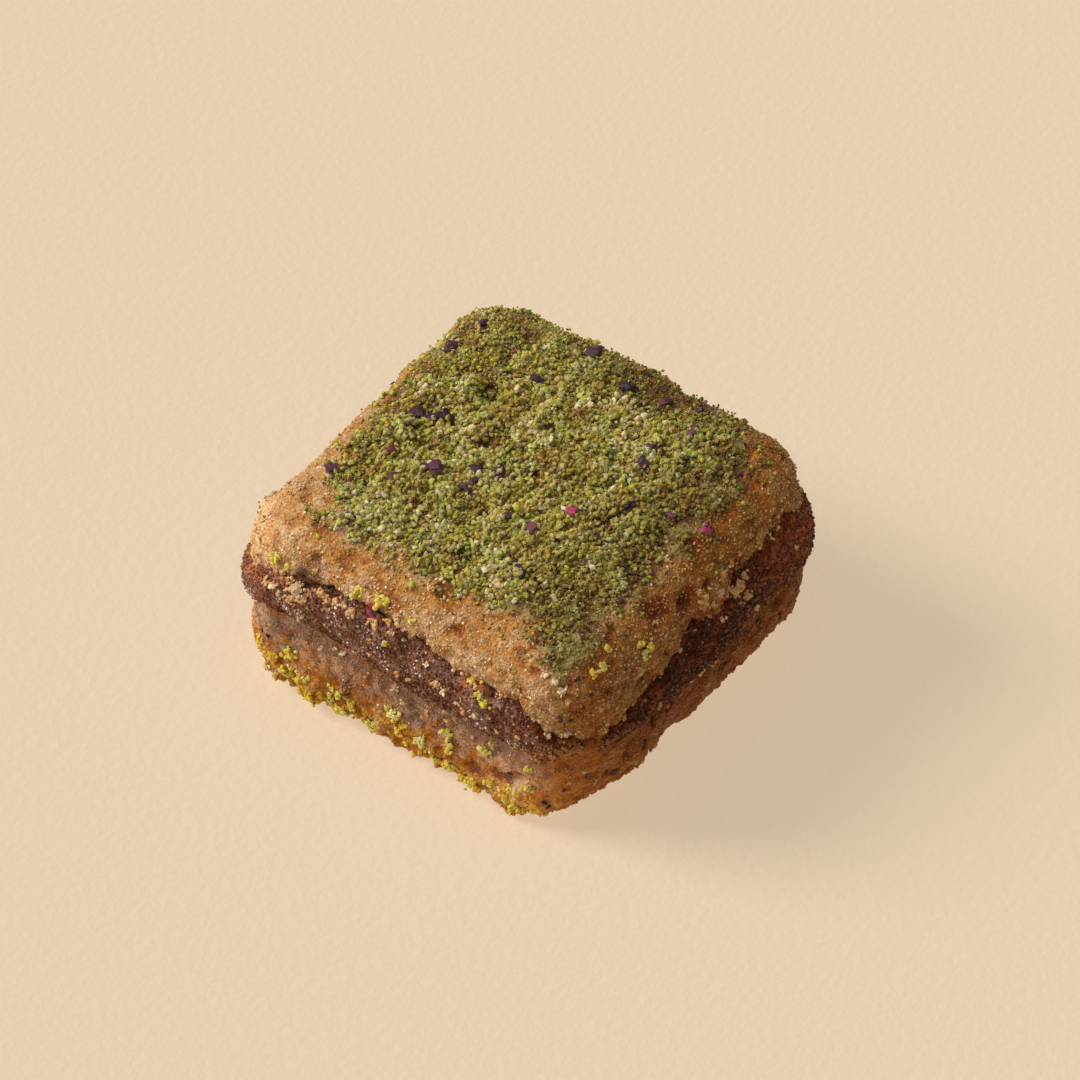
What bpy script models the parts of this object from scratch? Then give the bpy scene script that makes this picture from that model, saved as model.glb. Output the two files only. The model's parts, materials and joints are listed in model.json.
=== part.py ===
"""Date-filled pastry square: a thick dough base, a band of date paste and a crumbly dough lid.

The lid is strewn with ground pistachio, whose larger nibs and skin flecks are fused to it, and
the base has picked up clumps of the same meal along one lower edge. Metres, +Z up, and the
origin lies under the middle of the square, on the surface that it stands on.
"""

import math
import random

import bmesh
import bpy
from mathutils import Matrix, Vector, noise
from mathutils.bvhtree import BVHTree

MM = 0.001

# The square at its widest, which is the middle of the date band.
LENGTH_X = 40.4 * MM
LENGTH_Y = 41.2 * MM
HEIGHT = 20.1 * MM
CORNER_RADIUS = 6.4 * MM

# How the side runs from the foot to the rim.
DOUGH_INSET = 0.8 * MM      # dough stands in this far from the widest outline
FOOT_HEIGHT = 3.4 * MM      # rounding of the lower edge
FOOT_REACH = 3.3 * MM
RIM_START = 15.4 * MM       # height where the rounding of the upper edge begins
RIM_REACH = 4.7 * MM
RIM_HEIGHT = HEIGHT - RIM_START
SHOULDER_ANGLE = 55.0       # degrees of that rounding which belong to the side
JOINT_DEPTH = 0.35 * MM     # groove where dough and date meet
GAP = 0.3 * MM              # clearance between two layers

# Height in mm of the two joints, by the bearing in degrees round the square (0 is +X).
# The lid's nose comes low at the front corner, -45 degrees, and the date band swells beside it.
LID_JOINT = (
    (-45, 12.2), (-38, 10.6), (-30, 11.3), (-20, 12.0), (-8, 13.3), (8, 13.4), (18, 15.0),
    (30, 16.2), (45, 13.8), (90, 14.4), (135, 13.6), (180, 14.6), (225, 13.5), (238, 16.2),
    (256, 16.9), (272, 16.5), (288, 15.3), (304, 14.8),
)
BASE_JOINT = (
    (-45, 9.4), (-34, 9.2), (-24, 7.7), (-12, 6.6), (4, 6.4), (24, 7.6), (45, 6.2), (90, 7.6),
    (135, 7.0), (180, 8.4), (225, 9.1), (240, 10.6), (256, 10.0), (275, 9.1), (296, 9.0),
)
LID_JOINT_INSIDE = 14.0 * MM
BASE_JOINT_INSIDE = 8.2 * MM
WAVY_RINGS = 2              # rings of faces in from the side over which a joint turns flat
WAVY_STEP = 0.10            # share of the half width that each of those rings takes
BULGE_ROUNDNESS = 0.45      # below 1 the date band swells fuller than an arc
FULL_BULGE_HEIGHT = 3.0 * MM    # a lower band than this swells less

# Grid of each layer.
CELLS = 30                  # faces across a layer, each way
RINGS = CELLS // 2
LID_LEVELS = 6
DATE_LEVELS = 5
BASE_LEVELS = 6
FOOT_CROWDING = 1.35        # above 1 the base's levels crowd towards its foot
RIM_RINGS = 3               # rings of the lid's top that finish the rounding
END_FACE = 0.999            # |w| beyond this is the top or the bottom of the starting cube
TINY = 1e-6                 # distance on the starting cube that counts as none
FLAT_ANGLE = 0.05           # degrees; faces that meet flatter than this become one

# Unevenness of the outside.
CROWN = 0.2 * MM
SWELL = 0.34 * MM
SWELL_SIZE = 5.0 * MM
LUMP = 0.20 * MM
LUMP_SIZE = 1.7 * MM
LUMP_SHIFT = Vector((7.3, 1.9, 4.1))    # keeps the lumps from following the swells
RAGGED = 0.50 * MM          # how unevenly the lid's lower lip hangs out
RAGGED_SIZE = 1.6 * MM
LIP_SHARE = 1 / 2.6         # share of the side's height, from below, that counts as the lip

# Hollows pressed or broken out of a layer: place, radius and depth in mm. A negative depth
# is a lump or a ledge.
LID_DENTS = (
    ((-9.1, 5.8, 20.4), 2.1, 1.3),
    ((0.2, -14.8, 19.6), 1.5, 0.8),
    ((2.4, -15.6, 19.2), 1.6, 0.9),
    ((4.3, -15.8, 19.1), 1.4, 0.8),
    ((3.2, -13.4, 20.0), 1.8, -0.45),
    ((-12.7, -14.1, 19.3), 2.3, 0.9),
    ((-9.4, -19.0, 17.6), 1.7, 0.9),
    ((-16.6, -12.0, 18.4), 1.8, -0.4),
    ((17.8, -6.4, 18.2), 1.6, 0.9),
    ((19.6, -2.5, 15.2), 1.5, 1.5),
    ((19.6, 1.6, 14.4), 2.0, -0.7),
    ((19.0, 8.4, 17.6), 1.9, 0.8),
    ((12.4, 11.0, 20.2), 3.2, -0.35),
    ((-3.0, 13.0, 20.3), 3.4, -0.3),
    ((-15.4, 12.2, 19.4), 2.4, 0.5),
    ((4.6, 18.6, 18.2), 2.2, 0.6),
    ((-18.8, 2.6, 17.4), 2.0, 0.5),
    ((17.6, 17.6, 16.0), 6.0, 0.6),
    ((-17.4, -10.0, 18.2), 6.5, 0.55),
)
DATE_DENTS = (
    ((-8.8, -20.2, 15.4), 1.8, 0.8),
    ((19.8, -2.6, 12.6), 1.8, 0.7),
    ((8.5, -20.4, 12.2), 3.0, -0.35),
    ((20.0, 12.5, 10.5), 3.0, -0.35),
    ((-20.0, 6.0, 11.0), 3.0, 0.5),
    ((3.0, 20.4, 11.0), 2.6, 0.45),
)
BASE_DENTS = (
    ((-13.0, -18.9, 6.0), 2.2, 0.6),
    ((6.4, -19.4, 5.6), 2.4, 0.5),
    ((19.2, -10.0, 4.2), 2.4, -0.35),
    ((19.2, 5.5, 3.6), 2.0, 0.5),
    ((-19.0, 9.0, 4.4), 2.4, 0.5),
    ((-6.0, 19.6, 4.8), 2.6, 0.5),
    ((18.6, -15.0, 2.4), 6.0, 1.1),
    ((19.2, -5.0, 2.0), 5.0, 0.5),
)

# Flecks of pistachio skin that are fused to the lid: X, Y, bearing of the long side and half
# length in mm.
SKIN_FLECKS = (
    (-12.9, 0.3, 60, 0.75), (-10.5, 1.3, 110, 0.95), (-7.0, -4.7, 20, 0.90),
    (-3.4, -4.5, 10, 0.85), (-4.0, -2.7, 30, 0.60), (-2.3, -1.5, 25, 0.75),
    (-12.1, -4.9, 15, 0.65), (-9.2, -7.7, 75, 0.85), (-14.9, -9.7, 50, 0.80),
    (0.8, 14.0, 0, 0.80), (-4.7, 16.4, 10, 0.75), (-6.6, 10.1, 45, 0.65),
    (7.7, 7.0, 10, 0.70), (0.0, 0.3, 100, 0.55), (9.6, 2.1, 60, 0.60),
    (6.8, -10.7, 40, 0.70), (4.4, -5.6, 20, 0.60), (1.9, -5.6, 50, 0.50),
    (6.2, -2.0, 0, 0.60), (13.2, 3.2, 40, 0.55), (16.5, 4.1, 20, 0.50),
    (4.3, 15.0, 30, 0.60), (7.6, 15.9, 15, 0.70), (-15.2, 13.2, 0, 0.60),
    (-15.7, 9.3, 80, 0.70), (7.0, 9.3, 70, 0.55), (9.0, 13.0, 60, 0.70),
)
FLECK_WIDTH = 0.62          # share of the half length
FLECK_THICKNESS = 0.42

# Nibs of pistachio that are fused to the lid between the flecks, on a jittered grid.
BIT_SEED = 11
NIB_SPACING = 4.1 * MM
NIB_FIELD = 16.8 * MM       # nibs lie within this distance of the middle, along X and Y
NIB_JITTER = 0.36           # share of the spacing, either way
NIB_HALF = (0.50, 0.44, 0.42)
NIB_SIZES = (0.8, 1.2)      # smallest and largest, as a share of those halves
NIB_CLEARANCE = 1.7 * MM    # least distance from the middle of a fleck
BIT_STAND = 0.12 * MM       # a bit's middle lies this far above the dough
LEAST_LEVEL = 0.72          # upward part of the normal where a bit can lie

# Clumps of meal that are fused to the base.
CLUMP_SPACING = 1.5 * MM
CLUMP_FROM_X = -16.2 * MM
CLUMP_TO_X = 14.0 * MM
CLUMP_JITTER = (0.2, 0.8)   # where in its step of the spacing a clump can lie
CLUMP_HALF = (0.62, 1.05)   # smallest and largest
CLUMP_WIDTH = 0.8           # share of the half length
CLUMP_THICKNESS = 0.7
CLUMP_CLEARANCE = 0.2       # least height of a clump's underside above the ground
CLUMP_RISE = 0.45 * MM      # a clump lies up to this far above or below its row
CLUMP_ROWS = ((1.7, 0.0), (3.9, 0.55))  # height and the share of places left empty


def joint_height(stations, bearing):
    """Height of a joint at a bearing, eased from one station to the next."""
    span = len(stations)
    turned = (bearing - stations[0][0]) % 360.0 + stations[0][0]
    for index, (start, low) in enumerate(stations):
        end, high = stations[(index + 1) % span]
        if index == span - 1:
            end += 360.0
        if start <= turned <= end:
            share = (turned - start) / (end - start)
            eased = share * share * (3.0 - 2.0 * share)
            return (low + (high - low) * eased) * MM
    return stations[0][1] * MM


def side_inset(height):
    """How far the dough's side stands in from the widest outline at a height."""
    inset = DOUGH_INSET
    if height < FOOT_HEIGHT:
        below = 1.0 - height / FOOT_HEIGHT
        inset += FOOT_REACH * (1.0 - math.sqrt(1.0 - below * below))
    if height > RIM_START:
        above = min(1.0, (height - RIM_START) / RIM_HEIGHT)
        inset += RIM_REACH * (1.0 - math.sqrt(1.0 - above * above))
    return inset


def outline_point(u, v, inset):
    """Point of the rounded square, drawn in by inset, towards the point (u, v) of a unit square."""
    reach = max(abs(u), abs(v))
    half_x = LENGTH_X / 2 - inset
    half_y = LENGTH_Y / 2 - inset
    radius = CORNER_RADIUS - inset / 2
    x = u / reach * half_x
    y = v / reach * half_y
    centre_x = half_x - radius
    centre_y = half_y - radius
    if abs(x) > centre_x and abs(y) > centre_y:
        square = x * x + y * y
        along = abs(x) * centre_x + abs(y) * centre_y
        rest = centre_x ** 2 + centre_y ** 2 - radius ** 2
        scale = (along + math.sqrt(along * along - square * rest)) / square
        x *= scale
        y *= scale
    return Vector((x, y, 0.0))


def bearing_of(u, v):
    """Bearing in degrees of the point (u, v)."""
    return math.degrees(math.atan2(v, u))


def joint_point(u, v, stations, inside, side_of_gap):
    """Point of a joint's face: wavy at the side and flat inside, half a gap above or below."""
    reach = max(abs(u), abs(v))
    if reach < TINY:
        return Vector((0.0, 0.0, inside + side_of_gap * GAP / 2))
    rim = joint_height(stations, bearing_of(u, v))
    ring = round((1.0 - reach) * RINGS)
    share = min(1.0, ring / WAVY_RINGS)
    height = rim + (inside - rim) * share
    if ring <= WAVY_RINGS:
        width = 1.0 - WAVY_STEP * ring
    else:
        width = (1.0 - WAVY_STEP * WAVY_RINGS) * reach / (1.0 - WAVY_RINGS / RINGS)
    point = outline_point(u, v, side_inset(rim) + JOINT_DEPTH) * width
    point.z = height + side_of_gap * GAP / 2
    return point


def lid_point(u, v, w):
    """Place of a lid vertex that started at (u, v, w) on a cube from -1 to 1.

    Also says whether it lies on the outside, which is made uneven.
    """
    if w < -END_FACE:
        return joint_point(u, v, LID_JOINT, LID_JOINT_INSIDE, 1), False
    reach = max(abs(u), abs(v))
    if w < END_FACE:
        low = joint_height(LID_JOINT, bearing_of(u, v)) + GAP / 2
        high = RIM_START + RIM_HEIGHT * math.sin(math.radians(SHOULDER_ANGLE))
        share = (w + 1.0) / 2.0
        height = low + (high - low) * share
        inset = side_inset(height)
        point = outline_point(u, v, inset)
        lip = max(0.0, 1.0 - share / LIP_SHARE)
        hang = RAGGED * lip * noise.noise(point / RAGGED_SIZE)
        point = outline_point(u, v, inset - hang)
        point.z = height
        return point, True
    if reach < TINY:
        return Vector((0.0, 0.0, HEIGHT + CROWN)), True
    ring = (1.0 - reach) * RINGS
    turned = SHOULDER_ANGLE + (90.0 - SHOULDER_ANGLE) * min(1.0, ring / RIM_RINGS)
    angle = math.radians(turned)
    point = outline_point(u, v, DOUGH_INSET + RIM_REACH * (1.0 - math.cos(angle)))
    height = RIM_START + RIM_HEIGHT * math.sin(angle)
    if ring > RIM_RINGS:
        share = reach / (1.0 - RIM_RINGS / RINGS)
        point *= share
        height += CROWN * (1.0 - share * share)
    point.z = height
    return point, True


def date_point(u, v, w):
    """Place of a date vertex that started at (u, v, w), and whether it lies on the outside."""
    if w < -END_FACE:
        return joint_point(u, v, BASE_JOINT, BASE_JOINT_INSIDE, 1), False
    if w > END_FACE:
        return joint_point(u, v, LID_JOINT, LID_JOINT_INSIDE, -1), False
    bearing = bearing_of(u, v)
    low = joint_height(BASE_JOINT, bearing) + GAP / 2
    high = joint_height(LID_JOINT, bearing) - GAP / 2
    share = (w + 1.0) / 2.0
    height = low + (high - low) * share
    bulge = math.sin(math.pi * share) ** BULGE_ROUNDNESS
    fullness = min(1.0, (high - low) / FULL_BULGE_HEIGHT)
    inset = side_inset(height) + JOINT_DEPTH - (JOINT_DEPTH + DOUGH_INSET * fullness) * bulge
    point = outline_point(u, v, inset)
    point.z = height
    return point, True


def base_point(u, v, w):
    """Place of a base vertex that started at (u, v, w), and whether it lies on the outside."""
    if w > END_FACE:
        return joint_point(u, v, BASE_JOINT, BASE_JOINT_INSIDE, -1), False
    if w < -END_FACE:
        reach = max(abs(u), abs(v))
        if reach < TINY:
            return Vector((0.0, 0.0, 0.0)), False
        return outline_point(u, v, side_inset(0.0)) * reach, False
    high = joint_height(BASE_JOINT, bearing_of(u, v)) - GAP / 2
    share = (w + 1.0) / 2.0
    height = high * share ** FOOT_CROWDING
    point = outline_point(u, v, side_inset(height))
    point.z = height
    return point, True


def gridded_cube(cells, levels):
    """Cube from -1 to 1 whose top and bottom have cells x cells faces and whose sides have levels."""
    mesh = bmesh.new()
    bmesh.ops.create_cube(mesh, size=2.0)
    for axis, count in ((0, cells), (1, cells), (2, levels)):
        across = [
            edge for edge in mesh.edges
            if abs(edge.verts[0].co[axis] - edge.verts[1].co[axis]) > TINY
        ]
        bmesh.ops.subdivide_edges(mesh, edges=across, cuts=count - 1, use_grid_fill=True)
    return mesh


def dent_depth(place, dents):
    """Sum of the dents at a place."""
    depth = 0.0
    for centre, radius, deep in dents:
        away = (place - Vector(centre) * MM).length / (radius * MM)
        if away < 1.0:
            depth += deep * MM * (1.0 - away * away) ** 2
    return depth


def unevenness(place):
    """Swells and lumps of a hand-made surface at a place."""
    swell = SWELL * noise.noise(place / SWELL_SIZE)
    lump = LUMP * noise.noise(place / LUMP_SIZE + LUMP_SHIFT)
    return swell + lump


def layer_mesh(levels, place_vertex, dents):
    """Closed mesh of one layer: a gridded cube moved to the layer's shape, then made uneven."""
    mesh = gridded_cube(CELLS, levels)
    outer = []
    for vertex in mesh.verts:
        point, is_outer = place_vertex(*vertex.co)
        vertex.co = point
        if is_outer:
            outer.append(vertex)
    bmesh.ops.recalc_face_normals(mesh, faces=mesh.faces)
    mesh.normal_update()
    moves = []
    for vertex in outer:
        rise = unevenness(vertex.co) - dent_depth(vertex.co, dents)
        moves.append((vertex, vertex.normal * rise))
    for vertex, move in moves:
        vertex.co += move
    bmesh.ops.dissolve_limit(
        mesh, angle_limit=math.radians(FLAT_ANGLE), verts=mesh.verts, edges=mesh.edges,
        delimit={"NORMAL"})
    bmesh.ops.triangulate(mesh, faces=mesh.faces)
    return mesh


def finish(name, colour, roughness):
    """Material with a plain colour and roughness."""
    material = bpy.data.materials.new(name)
    material.use_nodes = True
    shader = material.node_tree.nodes["Principled BSDF"]
    shader.inputs["Base Color"].default_value = (*colour, 1.0)
    shader.inputs["Roughness"].default_value = roughness
    shader.inputs["Metallic"].default_value = 0.0
    return material


def add_object(name, mesh, material, collection):
    """Object made from a bmesh, which is freed."""
    data = bpy.data.meshes.new(name)
    mesh.to_mesh(data)
    mesh.free()
    data.materials.append(material)
    obj = bpy.data.objects.new(name, data)
    collection.objects.link(obj)
    return obj


def add_bit(name, place, normal, half_sizes, spin, collection):
    """Small faceted bit that lies flat on a surface with the given normal."""
    mesh = bmesh.new()
    bmesh.ops.create_icosphere(mesh, subdivisions=1, radius=1.0)
    upright = normal.to_track_quat("Z", "Y").to_matrix().to_4x4()
    scale = Matrix.Diagonal((*(half * MM for half in half_sizes), 1.0))
    turn = Matrix.Rotation(spin, 4, "Z")
    bmesh.ops.transform(
        mesh, matrix=Matrix.Translation(place) @ upright @ turn @ scale, verts=mesh.verts)
    data = bpy.data.meshes.new(name)
    mesh.to_mesh(data)
    mesh.free()
    obj = bpy.data.objects.new(name, data)
    collection.objects.link(obj)
    return obj


def drop_on(tree, x, y):
    """Point of the lid under (x, y) and its normal, or None where the lid is too steep."""
    start = Vector((x, y, HEIGHT * 2))
    place, normal, _, _ = tree.ray_cast(start, Vector((0.0, 0.0, -1.0)))
    if place is None or normal.z < LEAST_LEVEL:
        return None
    return place, normal


def lay_flecks(tree, collection):
    """Flecks of skin at their places on the lid."""
    for x, y, bearing, half in SKIN_FLECKS:
        found = drop_on(tree, x * MM, y * MM)
        if found is None:
            continue
        place, normal = found
        sizes = (half, half * FLECK_WIDTH, half * FLECK_THICKNESS)
        add_bit("fleck", place + normal * BIT_STAND, normal, sizes, math.radians(bearing), collection)


def strew_nibs(tree, collection):
    """Nibs over the lid's top, one in each cell of a jittered grid that is clear of the flecks."""
    draw = random.Random(BIT_SEED)
    steps = int(NIB_FIELD / NIB_SPACING)
    for row in range(-steps, steps + 1):
        for column in range(-steps, steps + 1):
            x = (column + draw.uniform(-NIB_JITTER, NIB_JITTER)) * NIB_SPACING
            y = (row + draw.uniform(-NIB_JITTER, NIB_JITTER)) * NIB_SPACING
            spin = draw.uniform(0.0, math.tau)
            size = draw.uniform(*NIB_SIZES)
            nearest = min(math.hypot(x - fleck[0] * MM, y - fleck[1] * MM) for fleck in SKIN_FLECKS)
            found = drop_on(tree, x, y)
            if found is None or nearest < NIB_CLEARANCE:
                continue
            place, normal = found
            half = tuple(size * side for side in NIB_HALF)
            add_bit("nib", place + normal * BIT_STAND, normal, half, spin, collection)


def strew_clumps(tree, collection):
    """Clumps of meal along the base's lower edge on the -Y side."""
    draw = random.Random(BIT_SEED + 1)
    for height, empty in CLUMP_ROWS:
        count = round((CLUMP_TO_X - CLUMP_FROM_X) / CLUMP_SPACING)
        for index in range(count):
            x = CLUMP_FROM_X + (index + draw.uniform(*CLUMP_JITTER)) * CLUMP_SPACING
            z = height * MM + draw.uniform(-CLUMP_RISE, CLUMP_RISE)
            size = draw.uniform(*CLUMP_HALF)
            spin = draw.uniform(0.0, math.tau)
            if draw.random() < empty:
                continue
            start = Vector((x, -LENGTH_Y, z))
            place, normal, _, _ = tree.ray_cast(start, Vector((0.0, 1.0, 0.0)))
            if place is None:
                continue
            room = place.z / MM - CLUMP_CLEARANCE
            half = (size, size * CLUMP_WIDTH, min(size * CLUMP_THICKNESS, room))
            add_bit("clump", place + normal * BIT_STAND, normal, half, spin, collection)


def surface_tree(obj):
    """Search tree over an object's faces."""
    return BVHTree.FromObject(obj, bpy.context.evaluated_depsgraph_get())


def fuse(obj, bits):
    """Join every object of a collection to obj, then remove the collection."""
    modifier = obj.modifiers.new("bits", "BOOLEAN")
    modifier.operation = "UNION"
    modifier.operand_type = "COLLECTION"
    modifier.collection = bits
    modifier.solver = "EXACT"
    modifier.use_self = True
    bpy.context.view_layer.update()
    shaped = obj.evaluated_get(bpy.context.evaluated_depsgraph_get())
    fused = bpy.data.meshes.new_from_object(shaped)
    material = obj.data.materials[0]
    obj.modifiers.clear()
    obj.data = fused
    fused.name = obj.name
    fused.materials.clear()
    fused.materials.append(material)
    for face in fused.polygons:
        face.material_index = 0
    for bit in list(bits.objects):
        bpy.data.objects.remove(bit)
    bpy.data.collections.remove(bits)


def bit_collection(name, parent):
    """Empty collection for bits that are fused and removed."""
    collection = bpy.data.collections.new(name)
    parent.children.link(collection)
    return collection


def stand_on_origin(objects):
    """Move the meshes so that the middle of the box's underside is the origin."""
    corners = [vertex.co for obj in objects for vertex in obj.data.vertices]
    middle_x = (min(c.x for c in corners) + max(c.x for c in corners)) / 2
    middle_y = (min(c.y for c in corners) + max(c.y for c in corners)) / 2
    lowest = min(c.z for c in corners)
    shift = Matrix.Translation(-Vector((middle_x, middle_y, lowest)))
    for obj in objects:
        obj.data.transform(shift)


def main():
    """Build the square."""
    for obj in list(bpy.data.objects):
        bpy.data.objects.remove(obj)
    square = bpy.data.collections.new("date_pistachio_square")
    bpy.context.scene.collection.children.link(square)

    base = add_object(
        "bottom_dough", layer_mesh(BASE_LEVELS, base_point, BASE_DENTS),
        finish("baked_dough_base", (0.36, 0.15, 0.055), 0.75), square)
    date = add_object(
        "date_filling", layer_mesh(DATE_LEVELS, date_point, DATE_DENTS),
        finish("date_paste", (0.11, 0.035, 0.024), 0.5), square)
    lid = add_object(
        "top_dough", layer_mesh(LID_LEVELS, lid_point, LID_DENTS),
        finish("pistachio_strewn_dough", (0.36, 0.29, 0.09), 0.85), square)

    lid_bits = bit_collection("lid_bits", square)
    lid_tree = surface_tree(lid)
    lay_flecks(lid_tree, lid_bits)
    strew_nibs(lid_tree, lid_bits)
    fuse(lid, lid_bits)
    base_clumps = bit_collection("base_clumps", square)
    strew_clumps(surface_tree(base), base_clumps)
    fuse(base, base_clumps)

    stand_on_origin((base, date, lid))


main()
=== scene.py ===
"""Looks of a date-filled pastry square: crumbly dough round a date band, under ground pistachio."""

import json
import logging
import math
from collections.abc import Callable, Sequence
from dataclasses import dataclass, field
from enum import Enum

import bpy
import numpy as np
from mathutils import Matrix, Vector, noise

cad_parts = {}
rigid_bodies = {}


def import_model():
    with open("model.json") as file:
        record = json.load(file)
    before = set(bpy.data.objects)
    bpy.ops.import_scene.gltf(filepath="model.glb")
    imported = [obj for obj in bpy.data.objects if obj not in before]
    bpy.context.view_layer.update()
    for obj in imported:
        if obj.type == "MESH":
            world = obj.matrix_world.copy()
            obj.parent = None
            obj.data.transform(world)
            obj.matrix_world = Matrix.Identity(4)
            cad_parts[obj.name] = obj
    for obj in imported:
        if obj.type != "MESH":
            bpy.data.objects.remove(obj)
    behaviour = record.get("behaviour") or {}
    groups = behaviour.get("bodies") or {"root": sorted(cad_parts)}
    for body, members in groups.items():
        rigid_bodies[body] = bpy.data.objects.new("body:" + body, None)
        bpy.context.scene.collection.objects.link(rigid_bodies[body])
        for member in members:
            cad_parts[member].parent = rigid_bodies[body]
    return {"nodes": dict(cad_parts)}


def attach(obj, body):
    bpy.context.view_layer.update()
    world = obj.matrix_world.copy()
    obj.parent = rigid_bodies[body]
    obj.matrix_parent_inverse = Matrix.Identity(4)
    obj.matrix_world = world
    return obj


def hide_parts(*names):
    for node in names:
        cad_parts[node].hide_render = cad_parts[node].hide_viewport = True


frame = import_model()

MM = 0.001
PHOTO_SIDE = 1080
BAKE_MAP = "OFBake"

# Numbers kept at each vertex, by the names under which the materials read them.
TINT, MEAL, RELIEF, RISE = "tint", "meal", "relief", "rise"
# glow and shade hold painted light and painted shade.
RUST, FROST, PAINTED_GLOW, PAINTED_SHADE = "rust", "frost", "glow", "shade"

Colour = tuple[float, float, float]
Stops = tuple[tuple[float, Colour], ...]
Span = tuple[float, float]
Spots = tuple[tuple[float, float, float, float], ...]
Under = tuple[float, Colour, float]
Array = np.ndarray
Share = Callable[[Array, Array], Array]     # of things, at given places and normals as rows

NONE_UNDER: Under = (0.0, (1.0, 0.2, 0.1), 0.05)    # no light passes under a surface

log = logging.getLogger("pastry_square")


class Part(Enum):
    """The three layers, by the names of their solids."""

    LID = "top_dough"
    FILLING = "date_filling"
    BASE = "bottom_dough"


class Slot(Enum):
    """Material slots of the record."""

    LID = "lid_dough"
    FILLING = "date_paste"
    BASE = "base_dough"


class Lit(Enum):
    """What a lamp shines on."""

    FOOD = "food"
    FLOOR = "floor"


class Form(Enum):
    """Starting form of a grain."""

    CHIP = "cube"
    PEBBLE = "sphere of twenty triangles"


# --- Shader nodes ---------------------------------------------------------------------------


class Wire:
    """An output socket whose arithmetic adds Math nodes."""

    def __init__(self, board: "Board", socket: bpy.types.NodeSocket) -> None:
        """Keep the socket and the board that its nodes are on."""
        self.board = board
        self.socket = socket

    def _maths(self, operation: str, first: "Wire | float", second: "Wire | float") -> "Wire":
        """Add one Math node."""
        return self.board.value("ShaderNodeMath", {"operation": operation}, {0: first, 1: second})

    def __add__(self, other: "Wire | float") -> "Wire":
        """Sum."""
        return self._maths("ADD", self, other)

    __radd__ = __add__

    def __sub__(self, other: "Wire | float") -> "Wire":
        """Difference."""
        return self._maths("SUBTRACT", self, other)

    def __rsub__(self, other: "Wire | float") -> "Wire":
        """Difference from a number."""
        return self._maths("SUBTRACT", other, self)

    def __mul__(self, other: "Wire | float") -> "Wire":
        """Product."""
        return self._maths("MULTIPLY", self, other)

    __rmul__ = __mul__

    def held(self) -> "Wire":
        """The value kept between 0 and 1."""
        return self.board.value("ShaderNodeClamp", {}, {"Value": self})


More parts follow.
